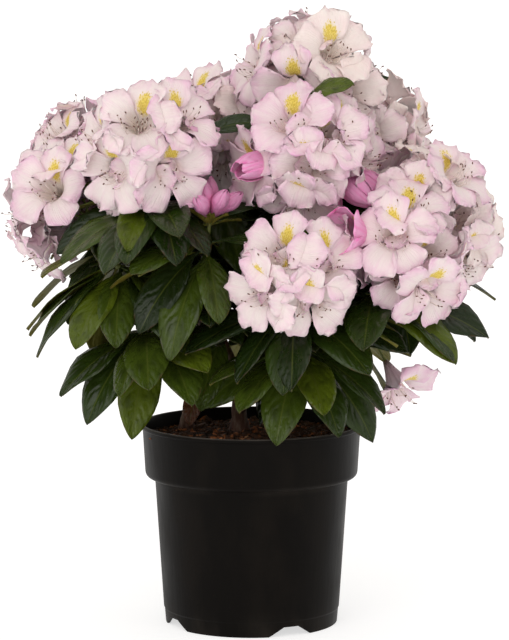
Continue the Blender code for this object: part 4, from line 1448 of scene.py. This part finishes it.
# The shoots' own stems: green to reddish wood of the last year, which runs on through the whorl and as
# the stalk of the truss to its heart. The four low leafy shoots are twigs of the same kind.
SHOOT_SIDES = 10
SHOOT_RINGS = 8
TWIG_STRIDE = 3
SHOOT_BUMPS = 0.0003
SHOOT_GREEN = (0.115, 0.135, 0.030, 1.0)
SHOOT_RED = (0.130, 0.045, 0.025, 1.0)
SHOOT_PATCHES = (60.0, 3.0, (1.0, 1.0, 0.5))
SHOOT_GRAIN = (500.0, 2.0, (1.0, 1.0, 0.3))


def shoot_finish():
    """Smooth young bark, green with reddish patches."""
    finish = Finish("young_bark", Roughness=0.55, Specular_IOR_Level=0.4)
    patches = finish.grain(*SHOOT_PATCHES)
    finish.drive("Base Color", finish.mix(SHOOT_GREEN, SHOOT_RED, patches.between(0.40, 0.62)))
    finish.relief(finish.grain(*SHOOT_GRAIN), SHOOT_BUMPS)
    return finish


heap = Heap()
for name, shoot in shoots.items():
    if shoot.heart:
        foot = shoot.foot - shoot.lean * BOUGH_TIP_RADIUS
        shares = [step / SHOOT_RINGS for step in range(SHOOT_RINGS + 1)]
        path = [foot.lerp(shoot.heart, share) for share in shares]
        girths = [SHOOT_RADIUS + (STALK_RADIUS * STALK_TAPER - SHOOT_RADIUS) * share for share in shares]
    else:
        limb = limbs["twig_" + name]
        path, girths = [row[::TWIG_STRIDE] + [row[-1]] for row in (limb.path, limb.girths)]
    heap.add_tube(path, girths, SHOOT_SIDES)
heap.dress("shoot_stems", shoot_finish(), "bark")

# The leaves: leathery and glossy, dark green, with a pale sunken midrib, faint side veins and a margin
# that rolls down a little. Their undersides are dull olive. Some are yellow-green, partly their own colour
# and partly painted light on the low leaves, and old ones have brown edges. Each is a thin closed shell on a
# short thick stalk.

# Rows of a leaf: how far along it each lies, and its half width as a share of the widest
LEAF_ROWS = (
    (0.0, 0.085), (0.05, 0.078), (0.10, 0.080), (0.14, 0.14), (0.19, 0.33), (0.26, 0.57),
    (0.34, 0.79), (0.43, 0.94), (0.53, 1.0), (0.64, 0.97), (0.74, 0.87), (0.83, 0.69),
    (0.90, 0.49), (0.95, 0.30), (0.983, 0.14), (1.0, 0.02),
)
LEAF_COLUMNS = 8
OLD_STEP = 3
OLD_COLUMNS = 4
LEAF_SHELL = 0.00028
LEAF_STALK_SHELL = 0.0013
LEAF_STALK_ROUND = 0.8
LEAF_STALK_END = 0.13
LEAF_STALK_BLEND = 0.1
MIDRIB_SINK = 0.0009
MIDRIB_WIDTH = 0.2
MIDRIB_BULGE = 0.9
FOLD_SHARES = (0.5, 1.2)
MARGIN_ROLL = 0.10
ROLL_SHARES = (0.6, 1.8)
MARGIN_WAVE = 0.0020
WAVE_SHARES = (0.3, 1.0)
WAVE_COUNTS = (1.6, 2.6)
WAVE_OFFSET = 0.25
LEAF_TWIST = 10
EDGE_SPOT = 0.06
SPOT_MARGIN = 0.02
VEIN_COUNT = 12.0
VEIN_SLANT = 2.4
LEAF_BUMPS = 0.0013
LEAF_SIDES = 2
LEAF_SEED = 71

# Tints of leaf, each (upper side, underside). The last is dry, and the one before it is that of the scales
LEAF_TINTS = (
    ((0.0095, 0.0205, 0.0028, 1.0), (0.090, 0.085, 0.012, 1.0)),
    ((0.0185, 0.036, 0.0038, 1.0), (0.110, 0.102, 0.014, 1.0)),
    ((0.041, 0.066, 0.006, 1.0), (0.130, 0.118, 0.016, 1.0)),
    ((0.072, 0.102, 0.006, 1.0), (0.150, 0.130, 0.018, 1.0)),
    ((0.105, 0.118, 0.010, 1.0), (0.190, 0.150, 0.020, 1.0)),
    ((0.100, 0.035, 0.016, 1.0), (0.120, 0.050, 0.024, 1.0)),
)
WHORL_TINTS = (0,) * 5 + (1,) * 5 + (2,) * 4 + (3,) * 2 + (4,)
# The low leaves draw on the lighter tints: partly their own yellow-green, partly painted light where they
# catch the lamp
LOW_TINTS_WITH_PAINTED_LIGHT = (0, 1, 1, 2, 2, 3)
OLD_TINTS = (0, 0, 1)
DRY_TINTS = (5,)
SCALE_TINT = 4
LEAF_SHADE = (0.005, 0.009, 0.002, 1.0)
LEAF_MIDRIB = (0.085, 0.105, 0.018, 1.0)
LEAF_BROWN = (0.11, 0.045, 0.018, 1.0)
LEAF_MOTTLE = (2.2, 4.0, (len(LEAF_TINTS) * 2.0, 9.0, 1.0))


@functools.cache
def shell_faces(rows, columns):
    """The faces of a thin closed shell on a grid of corners, upper side first, and their spots.

    A spot is (across, along, under), each from 0 to 1. The faces round the edge have spots just inside
    the upper side's own.
    """
    wide = columns + 1
    under = (rows + 1) * wide
    faces = []
    spots = []

    def add(corners, places, side):
        faces.append([row * wide + column + under * low for row, column, low in corners])
        spots.extend((across / columns, along / rows, side) for along, across in places)

    for row in range(rows):
        for column in range(columns):
            ring = [(row, column), (row, column + 1), (row + 1, column + 1), (row + 1, column)]
            add([(*place, 0) for place in ring], ring, 0)
            add([(*place, 1) for place in ring[::-1]], ring[::-1], 1)
    edge = [(0, column) for column in range(columns)] + [(row, columns) for row in range(rows)]
    edge += [(rows, column) for column in range(columns, 0, -1)] + [(row, 0) for row in range(rows, 0, -1)]
    middle = (rows / 2, columns / 2)
    for first, second in zip(edge, edge[1:] + edge[:1]):
        inner = [tuple(c + (m - c) * EDGE_SPOT for c, m in zip(place, middle)) for place in (second, first)]
        add([(*second, 0), (*first, 0), (*first, 1), (*second, 1)], [second, first, inner[1], inner[0]], 0)
    return np.array(faces), np.array(spots)


def in_cell(spots, column, columns, sides, rows):
    """Spots moved into the cell of their tint's column and their side's row, inside its margin."""
    row = np.where(spots[:, 2] > 0, sides[1], sides[0])
    inside = SPOT_MARGIN + spots[:, :2] * (1 - 2 * SPOT_MARGIN)
    return np.stack(((column + inside[:, 0]) / columns, (row + inside[:, 1]) / rows), -1)


def unit(vectors):
    """The vectors at length one."""
    return vectors / np.linalg.norm(vectors, axis=-1, keepdims=True)


def leaf_points(root, turn, rise, roll, length, dice, rows, columns):
    """The corners of a leaf's shell: its upper side, then its underside."""
    share, half = [np.array(row)[:, None] for row in zip(*rows)]
    half = half * LEAF_HALF_WIDTH * length / LEAF_LENGTH
    level, up = np.array(aim(turn, 0)), np.array(UP)
    side = np.cross(level, up)
    start, bend = math.radians(rise + LEAF_DROOP / 2), math.radians(LEAF_DROOP)
    angle = start - bend * share
    ahead = (np.sin(start) - np.sin(angle)) / bend * length
    height = (np.cos(angle) - np.cos(start)) / bend * length
    over = up * np.cos(angle) - level * np.sin(angle)
    towards = 1 if side[1] < 0 else -1
    rolled = roll * np.minimum(1.0, 2 * share) * towards
    twist = np.radians(rolled + dice.uniform(-LEAF_TWIST, LEAF_TWIST) * share)
    sides = side * np.cos(twist) - over * np.sin(twist)
    overs = over * np.cos(twist) + side * np.sin(twist)
    middle = np.array(root) + level * ahead + up * height
    across = np.linspace(-1, 1, columns + 1)[None, :]
    reach = half * across
    blade = np.clip((share - LEAF_STALK_END) / LEAF_STALK_BLEND, 0, 1)
    fold = LEAF_FOLD * dice.uniform(*FOLD_SHARES) * np.abs(reach)
    margin = MARGIN_ROLL * dice.uniform(*ROLL_SHARES) * half * across**4
    waves = dice.uniform(*WAVE_SHARES) * MARGIN_WAVE * across**2 * np.sin(
        math.tau * (dice.uniform(*WAVE_COUNTS) * share + dice.uniform(0, 1) + WAVE_OFFSET * np.sign(across))
    )
    groove = MIDRIB_SINK * np.exp(-((across / MIDRIB_WIDTH) ** 2))
    lift = fold + blade * (waves - margin - groove)
    round_off = np.sqrt(np.maximum(0.0, 1 - across**2 * LEAF_STALK_ROUND))
    thick = LEAF_SHELL + (LEAF_STALK_SHELL - LEAF_SHELL) * (1 - blade) * round_off
    sheets = []
    for shift in (thick, -thick - blade * groove * MIDRIB_BULGE):
        lifted = (lift + shift)[..., None]
        sheets.append(middle[:, None] + sides[:, None] * reach[..., None] + overs[:, None] * lifted)
    return np.concatenate([sheet.reshape(-1, 3) for sheet in sheets])


def draw_leaf(heap, place, tint, dice, rows=LEAF_ROWS, columns=LEAF_COLUMNS):
    """Adds the shell of one leaf of this tint."""
    faces, spots = shell_faces(len(rows) - 1, columns)
    cells = in_cell(spots, tint, len(LEAF_TINTS), (0, 1), LEAF_SIDES)
    heap.add(leaf_points(*place, dice, rows, columns), faces, cells)


def cell_parts(finish, tints, rows):
    """The spots' colours, places, rows, and how far each is from the middle of its cell and along it."""
    where = finish.add("ShaderNodeUVMap", {"uv_map": "OFBake"}, {})
    u = finish.axis(where, "X")
    v = finish.axis(where, "Y")
    colours = [finish.band(column, u) for column in zip(*tints)]
    across = (u * len(tints)).part() * 2.0 - 1.0
    return colours, where, v, abs(across), (v * rows).part()


def leaf_finish():
    """Leaf surfaces for every tint, upper side and underside."""
    finish = Finish("leaf", Specular_IOR_Level=0.27)
    (upper, lower), where, v, spread, along = cell_parts(finish, LEAF_TINTS, LEAF_SIDES)
    under = v.over(1 / LEAF_SIDES)
    mottle = finish.grain(*LEAF_MOTTLE, where)
    from_rib = abs((along * VEIN_COUNT - spread * VEIN_SLANT + mottle * 1.6).part() * 2.0 - 1.0)
    vein = from_rib.between(0.80, 1.0)
    shaded = finish.mix(upper, LEAF_SHADE, mottle.between(0.40, 0.75) * 0.5)
    veined = finish.mix(shaded, LEAF_MIDRIB, vein * 0.06)
    midrib = 1.0 - spread.between(0.015, 0.05)
    ribbed = finish.mix(veined, LEAF_MIDRIB, midrib * 0.55)
    edge = (spread + along * 0.25 + mottle * 0.55 - 0.45).between(0.90, 1.02) * along.between(0.45, 0.8)
    worn = finish.mix(ribbed, LEAF_BROWN, edge * 0.35)
    back = finish.mix(lower, LEAF_MIDRIB, midrib * 0.7 + vein * 0.25)
    finish.drive("Base Color", finish.mix(worn, back, under))
    finish.drive("Roughness", under * 0.30 + mottle * 0.16 + 0.20)
    quilt = (1.0 - from_rib.between(0.1, 1.0)) * spread.between(0.02, 0.25)
    finish.relief(mottle * 0.9 + quilt * 0.32, LEAF_BUMPS)
    return finish


heap = Heap()
dice = random.Random(LEAF_SEED)
sorts = [(LOW_TINTS_WITH_PAINTED_LIGHT if name in LEAFY_SHOOTS else WHORL_TINTS, shoots[name].leaf_places) for name in shoots]
for tints, places in sorts + [(LOW_TINTS_WITH_PAINTED_LIGHT, PEEPING_LEAVES), (DRY_TINTS, DRY_LEAVES)]:
    for place in places:
        draw_leaf(heap, place, dice.choice(tints), dice)
for place in old_places:
    draw_leaf(heap, place, dice.choice(OLD_TINTS), dice, LEAF_ROWS[::OLD_STEP], OLD_COLUMNS)
for place in shoots[BUD_SHOOT].scale_places:
    draw_leaf(heap, place, SCALE_TINT, dice)
heap.dress("leaves", leaf_finish(), "leaf", [shoot.whorl_name for shoot in shoots.values()])

# The flowers: wide funnels of thin, satiny petal that part into five broad lobes with wavy edges, white
# with a flush of pink toward the edges. The upper lobe carries a blotch of yellow speckles at its foot.
# Each lobe is a thin closed shell of its own, from the foot of the tube to its tip, and overlaps the next.

# Rows of the tube, each (height, radius), and of a lobe, each (share along it, half width)
TUBE_ROWS = ((0.026, 0.0026), (0.037, 0.0058), (0.0445, 0.0088), (0.051, 0.0114))
LOBE_ROWS = (
    (0.0, 0.42), (0.12, 0.64), (0.26, 0.80), (0.40, 0.90), (0.54, 0.99),
    (0.68, 1.0), (0.80, 0.93), (0.91, 0.77), (1.0, 0.50),
)
TUBE_FACING = 0.25
THROAT_HEIGHT = 0.0565
THROAT_RADIUS = 0.0138
LOBE_COLUMNS = 10
LOBE_LENGTH = 0.0312
LENGTH_SHARES = (0.90, 1.08)
LOBE_HALF_WIDTH = 0.0195
WIDTH_SHARES = (0.90, 1.07)
LOBE_SLOPES = (50, 108)
LOBE_SWAY = 15
LOBE_SHIFT = 7
SLOPE_STEPS = 56
SLOPE_BEND = 0.8
CLOSED_GIRTH = 0.85
CLOSED_SLOPES = (6, -52)
CLOSED_SWAY = 0.2
CLOSED_WRAP = 1.5
TIP_PULL = 0.17
TIP_NOTCH = 0.03
NOTCH_BREADTH = 0.22
PETAL_SHELL = 0.00025
LAP = 0.10
LEAST_HALF_WIDTH = 0.001
LEAST_RADIUS = 0.0025
LEAST_CURVE = 0.01
FLATTENING = 2.2
EDGE_WAVE = 0.0038
EDGE_WAVES = 1.5
EDGE_WAVE_BEND = 1.5
EDGE_WAVE_SHARES = (0.5, 1.4)
EDGE_OFFSET = 1.4
FRILL = 0.0017
FRILLS = 3.6
FRILL_SLANT = 6.5
BROAD_WAVE = 0.0024
BROAD_WAVE_SHARES = (0.3, 1.3)
BROAD_SLANT = 4.2
EDGE_NIBBLE = 0.028
NIBBLE_ONSET = 8
LOBE_CUP = 22.0
SETTLED = 0.3
PETAL_BUMPS = 0.0012

# Tints of flower, each (petal, its flush). The last is that of the buds. Each tint has a cell for each kind
# of surface: the lobe with the blotch, the other lobes, and the outer sides
PETAL_TINTS = (
    ((0.90, 0.795, 0.760, 1.0), (0.84, 0.53, 0.67, 1.0)),
    ((0.89, 0.765, 0.750, 1.0), (0.82, 0.46, 0.65, 1.0)),
    ((0.88, 0.70, 0.735, 1.0), (0.80, 0.38, 0.61, 1.0)),
    ((0.91, 0.80, 0.745, 1.0), (0.87, 0.64, 0.66, 1.0)),
    ((0.92, 0.44, 0.69, 1.0), (0.88, 0.17, 0.48, 1.0)),
)
BUD_TINT = len(PETAL_TINTS) - 1
PETAL_GLOW = (0.82, 1.0, 0.97)
BLOTCH_YELLOW = (0.88, 0.69, 0.13, 1.0)
BLOTCH_OLIVE = (0.60, 0.40, 0.025, 1.0)
THROAT_CREAM = (0.95, 0.89, 0.75, 1.0)
PETAL_STEPS = len(TUBE_ROWS) + len(LOBE_ROWS) - 1
TUBE_SHARE = len(TUBE_ROWS) / PETAL_STEPS

# What the flowers of a truss are tinted from: warmer and paler on the right and behind, deep pink low down
PINK_TINTS = (0, 0, 1, 1, 1, 2)
WARM_TINTS = (0, 0, 0, 1, 3, 3)
DEEP_TINTS = (2,)
TRUSS_TINTS = {
    "top": WARM_TINTS,
    "right_upper": WARM_TINTS,
    "right_middle": WARM_TINTS,
    "right_outer": WARM_TINTS,
    "right_low": DEEP_TINTS,
    "left_behind": WARM_TINTS,
    "back_middle": WARM_TINTS,
}
PETAL_KINDS = 3
PETAL_FLAT = (len(PETAL_TINTS), PETAL_KINDS, 1.0)
PETAL_CLOUD = (3.0, 3.0, PETAL_FLAT)
PETAL_STREAKS = (3.0, 2.0, (len(PETAL_TINTS) * 9.0, PETAL_KINDS, 1.0))
BLOTCH_START = TUBE_SHARE + 0.10
BLOTCH_REACH = 2.9
BLOTCH_SPECKS = (26.0, 2.0, PETAL_FLAT)
BLOTCH_DASHES = (len(PETAL_TINTS) * 24.0, PETAL_KINDS * 17.0, 1.0)
PETAL_SEED = 29
TRIANGLE_LIMIT = 190000


def tube_part(narrow, columns):
    """One lobe's part of the tube, and which way it faces inside."""
    heights, radii = [np.array(row)[:, None] for row in zip(*TUBE_ROWS)]
    radii = radii * narrow
    sector = columns * math.pi / RIM_LOBES
    tube = (radii * np.sin(sector), radii * np.cos(sector), heights)
    inward = (-np.sin(sector), -np.cos(sector), TUBE_FACING + 0 * heights)
    return [np.stack(np.broadcast_arrays(*parts), -1) for parts in (tube, inward)]


def lobe_waves(share, columns, dice):
    """How far a lobe's blade waves at its edges, over its breadth, and in the frill of its tip."""
    swing = EDGE_WAVE * dice.uniform(*EDGE_WAVE_SHARES) * share
    wave = swing * np.abs(columns) ** EDGE_WAVE_BEND * np.sin(
        math.tau * (EDGE_WAVES * share + dice.uniform(0, 1)) + EDGE_OFFSET * np.sign(columns)
    )
    broad = BROAD_WAVE * dice.uniform(*BROAD_WAVE_SHARES) * share**2 * np.sin(
        BROAD_SLANT * columns + dice.uniform(0, math.tau)
    )
    frill = FRILL * share**2 * np.maximum(np.abs(columns), share**3) ** 2 * np.sin(
        math.tau * (FRILLS * share + dice.uniform(0, 1)) + FRILL_SLANT * columns
    )
    return wave + broad + frill


def lobe_points(place, turn, dice, opened):
    """The corners of one lobe's shell with its part of the tube, inner side first."""
    root, way, size, roll = place
    narrow = CLOSED_GIRTH + (1 - CLOSED_GIRTH) * opened
    turn = turn + dice.uniform(-LOBE_SHIFT, LOBE_SHIFT) * opened
    columns = np.linspace(-1, 1, LOBE_COLUMNS + 1)[None, :]
    tube, tube_in = tube_part(narrow, columns)

    share, half = [np.array(row)[:, None] for row in zip(*LOBE_ROWS)]
    length = LOBE_LENGTH * dice.uniform(*LENGTH_SHARES)
    throat = THROAT_RADIUS * narrow
    sway = LOBE_SWAY * (CLOSED_SWAY + (1 - CLOSED_SWAY) * opened)
    slopes = [
        math.radians(shut + (wide_open - shut) * opened + dice.uniform(-sway, sway))
        for shut, wide_open in zip(CLOSED_SLOPES, LOBE_SLOPES)
    ]
    fine = np.linspace(0, 1, SLOPE_STEPS + 1)
    lean = slopes[0] + (slopes[1] - slopes[0]) * fine**SLOPE_BEND
    steps = (np.sin(lean[1:]) + np.sin(lean[:-1])) / 2, (np.cos(lean[1:]) + np.cos(lean[:-1])) / 2
    out, ahead = [np.concatenate(([0], np.cumsum(step))) / SLOPE_STEPS * length for step in steps]
    from_axis = throat + np.interp(share, fine, out)

    wide = LOBE_HALF_WIDTH * dice.uniform(*WIDTH_SHARES)
    wrapped = from_axis * math.pi / RIM_LOBES * CLOSED_WRAP
    half = half * wide * opened + np.maximum(wrapped, LEAST_HALF_WIDTH) * (1 - opened)
    half[0] = throat * math.pi / RIM_LOBES
    nibbles = np.array([[dice.uniform(-1, 1) for _ in range(LOBE_COLUMNS + 1)]]) * EDGE_NIBBLE
    pulled = share - TIP_PULL * share**3 * columns**2
    pulled = pulled - TIP_NOTCH * share**6 * np.exp(-((columns / NOTCH_BREADTH) ** 2))
    pulled = pulled + share**5 * nibbles
    slope = np.interp(pulled, fine, lean)
    middle_r = throat + np.interp(pulled, fine, out)
    middle_z = THROAT_HEIGHT + np.interp(pulled, fine, ahead)
    bites = np.array([[dice.uniform(-1, 1)] for _ in LOBE_ROWS]) * EDGE_NIBBLE * np.abs(columns) ** 3
    arc = half * columns * (1 + bites * np.clip(share * NIBBLE_ONSET, 0, 1))

    flat = (1 - share) ** FLATTENING / throat + share * dice.uniform(-LOBE_CUP, LOBE_CUP) + LEAST_CURVE
    curve = flat * opened + 1 / np.maximum(from_axis, LEAST_RADIUS) * (1 - opened)
    sag = (1 - np.cos(curve * arc)) / curve
    settle = np.clip(share / SETTLED, 0, 1)
    settle = settle * settle * (3 - 2 * settle)
    inward = slope * settle
    lift = sag + lobe_waves(share, columns, dice) * opened + LAP * arc * settle
    across = np.sin(curve * arc)
    lobe = np.stack((across / curve, middle_r - np.cos(inward) * lift, middle_z + np.sin(inward) * lift), -1)
    lobe_in = np.stack((-across, -np.cos(inward), np.sin(inward)), -1)
    sheet = np.concatenate((tube, lobe)) * size
    inner = unit(np.concatenate((tube_in, lobe_in)))
    stance = np.array(facing(way, roll) @ Matrix.Rotation(math.radians(turn), 3, "Z"))
    corners = [(sheet + inner * shell).reshape(-1, 3) for shell in (PETAL_SHELL, -PETAL_SHELL)]
    return np.concatenate(corners) @ stance.T + np.array(root)


def draw_flower(heap, place, tint, dice, opened=1.0):
    """Adds the five lobes of one flower of this tint. The first of them has the blotch."""
    faces, spots = shell_faces(PETAL_STEPS, LOBE_COLUMNS)
    for lobe in range(RIM_LOBES):
        sides = (1, 2) if lobe else (0, 2)
        cells = in_cell(spots, tint, len(PETAL_TINTS), sides, PETAL_KINDS)
        heap.add(lobe_points(place, 360 * lobe / RIM_LOBES, dice, opened), faces, cells)


def petal_finish():
    """Petals for every tint: the lobe with the blotch, the other lobes, and their outer sides."""
    soft = {"Subsurface_Weight": 0.35, "Subsurface_Scale": 0.004, "Subsurface_Radius": PETAL_GLOW}
    finish = Finish("petal", Specular_IOR_Level=0.3, **soft)
    (body, flush), where, v, spread, along = cell_parts(finish, PETAL_TINTS, PETAL_KINDS)
    cloud = finish.grain(*PETAL_CLOUD, where)
    streaks = finish.grain(*PETAL_STREAKS, where)
    rim = (spread.between(0.25, 1.05) * 0.65 + along.between(0.50, 1.05) * 0.80) * cloud.between(0.30, 0.64)
    tinted = finish.mix(body, flush, rim * 0.88 + streaks.between(0.5, 0.75) * 0.16)
    crease = (1.0 - spread.between(0.0, 0.14)) * along.between(0.3, 0.9)
    tinted = finish.mix(tinted, flush, crease * 0.30)
    throat = 1.0 - along.between(TUBE_SHARE * 0.30, TUBE_SHARE * 1.15)
    inner = finish.mix(tinted, THROAT_CREAM, throat * 0.75)
    dashes = finish.place(BLOTCH_DASHES, where)
    cells = finish.add("ShaderNodeTexVoronoi", {}, {"Vector": dashes, "Scale": 1.0})
    fine = finish.grain(*BLOTCH_SPECKS, where)
    reach = (along - BLOTCH_START) * BLOTCH_REACH
    breadth = spread * (along.between(0.2, 0.75) * 0.8 + 0.45)
    away = (reach * reach + breadth * breadth * 2.0) ** 0.5
    dense = 1.0 - away.between(0.05, 1.15)
    glow = dense.between(0.30, 1.0)
    dots = (dense * 1.15 + fine * 0.45 - cells - 0.30).between(0.0, 0.22)
    gold = finish.mix(inner, BLOTCH_YELLOW, glow * 0.95)
    specks = finish.mix(BLOTCH_YELLOW, BLOTCH_OLIVE, fine.between(0.40, 0.62) * 0.75 + 0.1)
    blotched = finish.mix(gold, specks, dots)
    face = finish.mix(blotched, inner, v.over(1 / PETAL_KINDS))
    # The outer sides are pinker toward their foot: partly their own flush, partly painted warm shade where
    # they show in the gaps
    back = finish.mix(tinted, flush, (1.0 - along.between(0.2, 0.9)) * 0.55 + crease * 0.4)
    finish.drive("Base Color", finish.mix(face, back, v.over(2 / PETAL_KINDS)))
    finish.drive("Roughness", cloud * 0.15 + 0.45)
    finish.relief(streaks * 0.6 + cloud * 0.9, PETAL_BUMPS)
    return finish


petals = petal_finish()
dice = random.Random(PETAL_SEED)
heaps = [Heap()]
trusses = [[]]
for shoot in shoots.values():
    if not shoot.flower_places:
        continue
    shells = len(heaps[-1].faces) + len(shoot.flower_places) * RIM_LOBES
    if heaps[-1].count and shells * len(shell_faces(PETAL_STEPS, LOBE_COLUMNS)[0]) * 2 > TRIANGLE_LIMIT:
        heaps.append(Heap())
        trusses.append([])
    trusses[-1].append(shoot.truss_name)
    for place in shoot.flower_places:
        draw_flower(heaps[-1], place, dice.choice(TRUSS_TINTS.get(shoot.name, PINK_TINTS)), dice)
for number, (heap, nodes) in enumerate(zip(heaps, trusses), 1):
    heap.dress(f"petals_{number}", petals, "petal", nodes)

# The stamens: ten pale threads out of each throat, which sag and then rise to small dark brown anthers.
STAMENS = 10
STAMEN_TURN = 0.3
STAMEN_SPREAD = (0.0145, 0.007)
STAMEN_SAG = -0.005
STAMEN_SHIFT = 0.003
STAMEN_HEIGHTS = (0.062, 0.077)
FILAMENT_RADIUS = 0.00035
ANTHER_RADIUS = 0.00075
ANTHER_LENGTH = 0.0024
ANTHER_SHARES = ((-0.5, 0.6), (-0.2, 1.0), (0.2, 1.0), (0.5, 0.6))
ANTHER_RISE = 0.3
THREAD_SIDES = 4
STAMEN_SEED = 53
PLAIN_CLOUDS = (300.0, 2.0)
DARKER = 0.6
FILAMENT_COLOUR = (0.80, 0.68, 0.62, 1.0)
ANTHER_COLOUR = (0.13, 0.042, 0.020, 1.0)

# A thread's points from the throat to its tip: shares of the tip's x, y and z, then what y and z add
STAMEN_CURVE = (
    (0.1, 0.15, 0, 0, 0.034),
    (0.35, 0.5, 0, -0.002, 0.048),
    (0.72, 1, 0, -0.003, 0.060),
    (0.95, 1, 1, -0.001, -0.003),
    (1, 1, 1, 0.001, 0),
)


def plain_finish(name, colour, roughness):
    """A finish of one colour, slightly clouded."""
    finish = Finish(name, Roughness=roughness, Specular_IOR_Level=0.4)
    dark = tuple(part * DARKER for part in colour[:3]) + (1.0,)
    finish.drive("Base Color", finish.mix(colour, dark, finish.grain(*PLAIN_CLOUDS).between(0.45, 0.75)))
    return finish


threads = Heap()
anthers = Heap()
dice = random.Random(STAMEN_SEED)
flower_places = [place for shoot in shoots.values() for place in shoot.flower_places]
for root, way, size, roll in flower_places:
    stance = facing(way, roll)
    for number in range(STAMENS):
        angle = math.tau * (number + dice.uniform(-STAMEN_TURN, STAMEN_TURN)) / STAMENS
        tip_x = STAMEN_SPREAD[0] * math.sin(angle) + dice.uniform(-STAMEN_SHIFT, STAMEN_SHIFT)
        tip_y = STAMEN_SAG + STAMEN_SPREAD[1] * math.cos(angle) + dice.uniform(-STAMEN_SHIFT, STAMEN_SHIFT)
        tip_z = dice.uniform(*STAMEN_HEIGHTS)
        path = []
        for x_share, y_share, z_share, y_more, z_more in STAMEN_CURVE:
            spot = Vector((tip_x * x_share, tip_y * y_share + y_more, tip_z * z_share + z_more))
            path.append(root + stance @ (spot * size))
        threads.add_tube(path, [FILAMENT_RADIUS] * len(path), THREAD_SIDES)
        end = (path[-1] - path[-2]).normalized()
        tilt = (stance @ Vector((dice.uniform(-1, 1), dice.uniform(-1, 1), ANTHER_RISE)) + end).normalized()
        ends = [path[-1] + tilt * ANTHER_LENGTH * share for share, _ in ANTHER_SHARES]
        anthers.add_tube(ends, [ANTHER_RADIUS * girth for _, girth in ANTHER_SHARES], THREAD_SIDES)
threads.dress("filaments", plain_finish("filament", FILAMENT_COLOUR, 0.5), "petal")
anthers.dress("anthers", plain_finish("anther", ANTHER_COLOUR, 0.6), "petal")

# The flower stalks: green, with darker clouds, each widening into a small calyx under its flower.
CALYX_RADIUS = 0.0031
STALK_SHARES = (0.0, 0.3, 0.6, 0.88, 1.0, 1.06)
STALK_GIRTHS = (PEDICEL_RADIUS,) * 4 + (CALYX_RADIUS, CALYX_RADIUS * 0.8)
STALK_SIDES = 6
STALK_GREEN = (0.26, 0.30, 0.09, 1.0)

stalks = Heap()
for root, way, size, roll in flower_places:
    path = [root + way * PEDICEL_LENGTH * size * share for share in STALK_SHARES]
    stalks.add_tube(path, [girth * size for girth in STALK_GIRTHS], STALK_SIDES)
stalks.dress("flower_stalks", plain_finish("flower_stalk", STALK_GREEN, 0.5), "leaf")

# The buds: closed and half-open flowers, deep pink, whose lobes still wrap round each other. The bunch of
# closed ones on short stalks stands among green-yellow scales, which are made with the leaves.
BUD_SEED = 83

buds = Heap()
dice = random.Random(BUD_SEED)
for shoot in shoots.values():
    for *place, opened in shoot.bud_places:
        draw_flower(buds, place, BUD_TINT, dice, opened)
buds.dress("closed_buds", petals, "petal", ["truss_" + BUD_SHOOT])
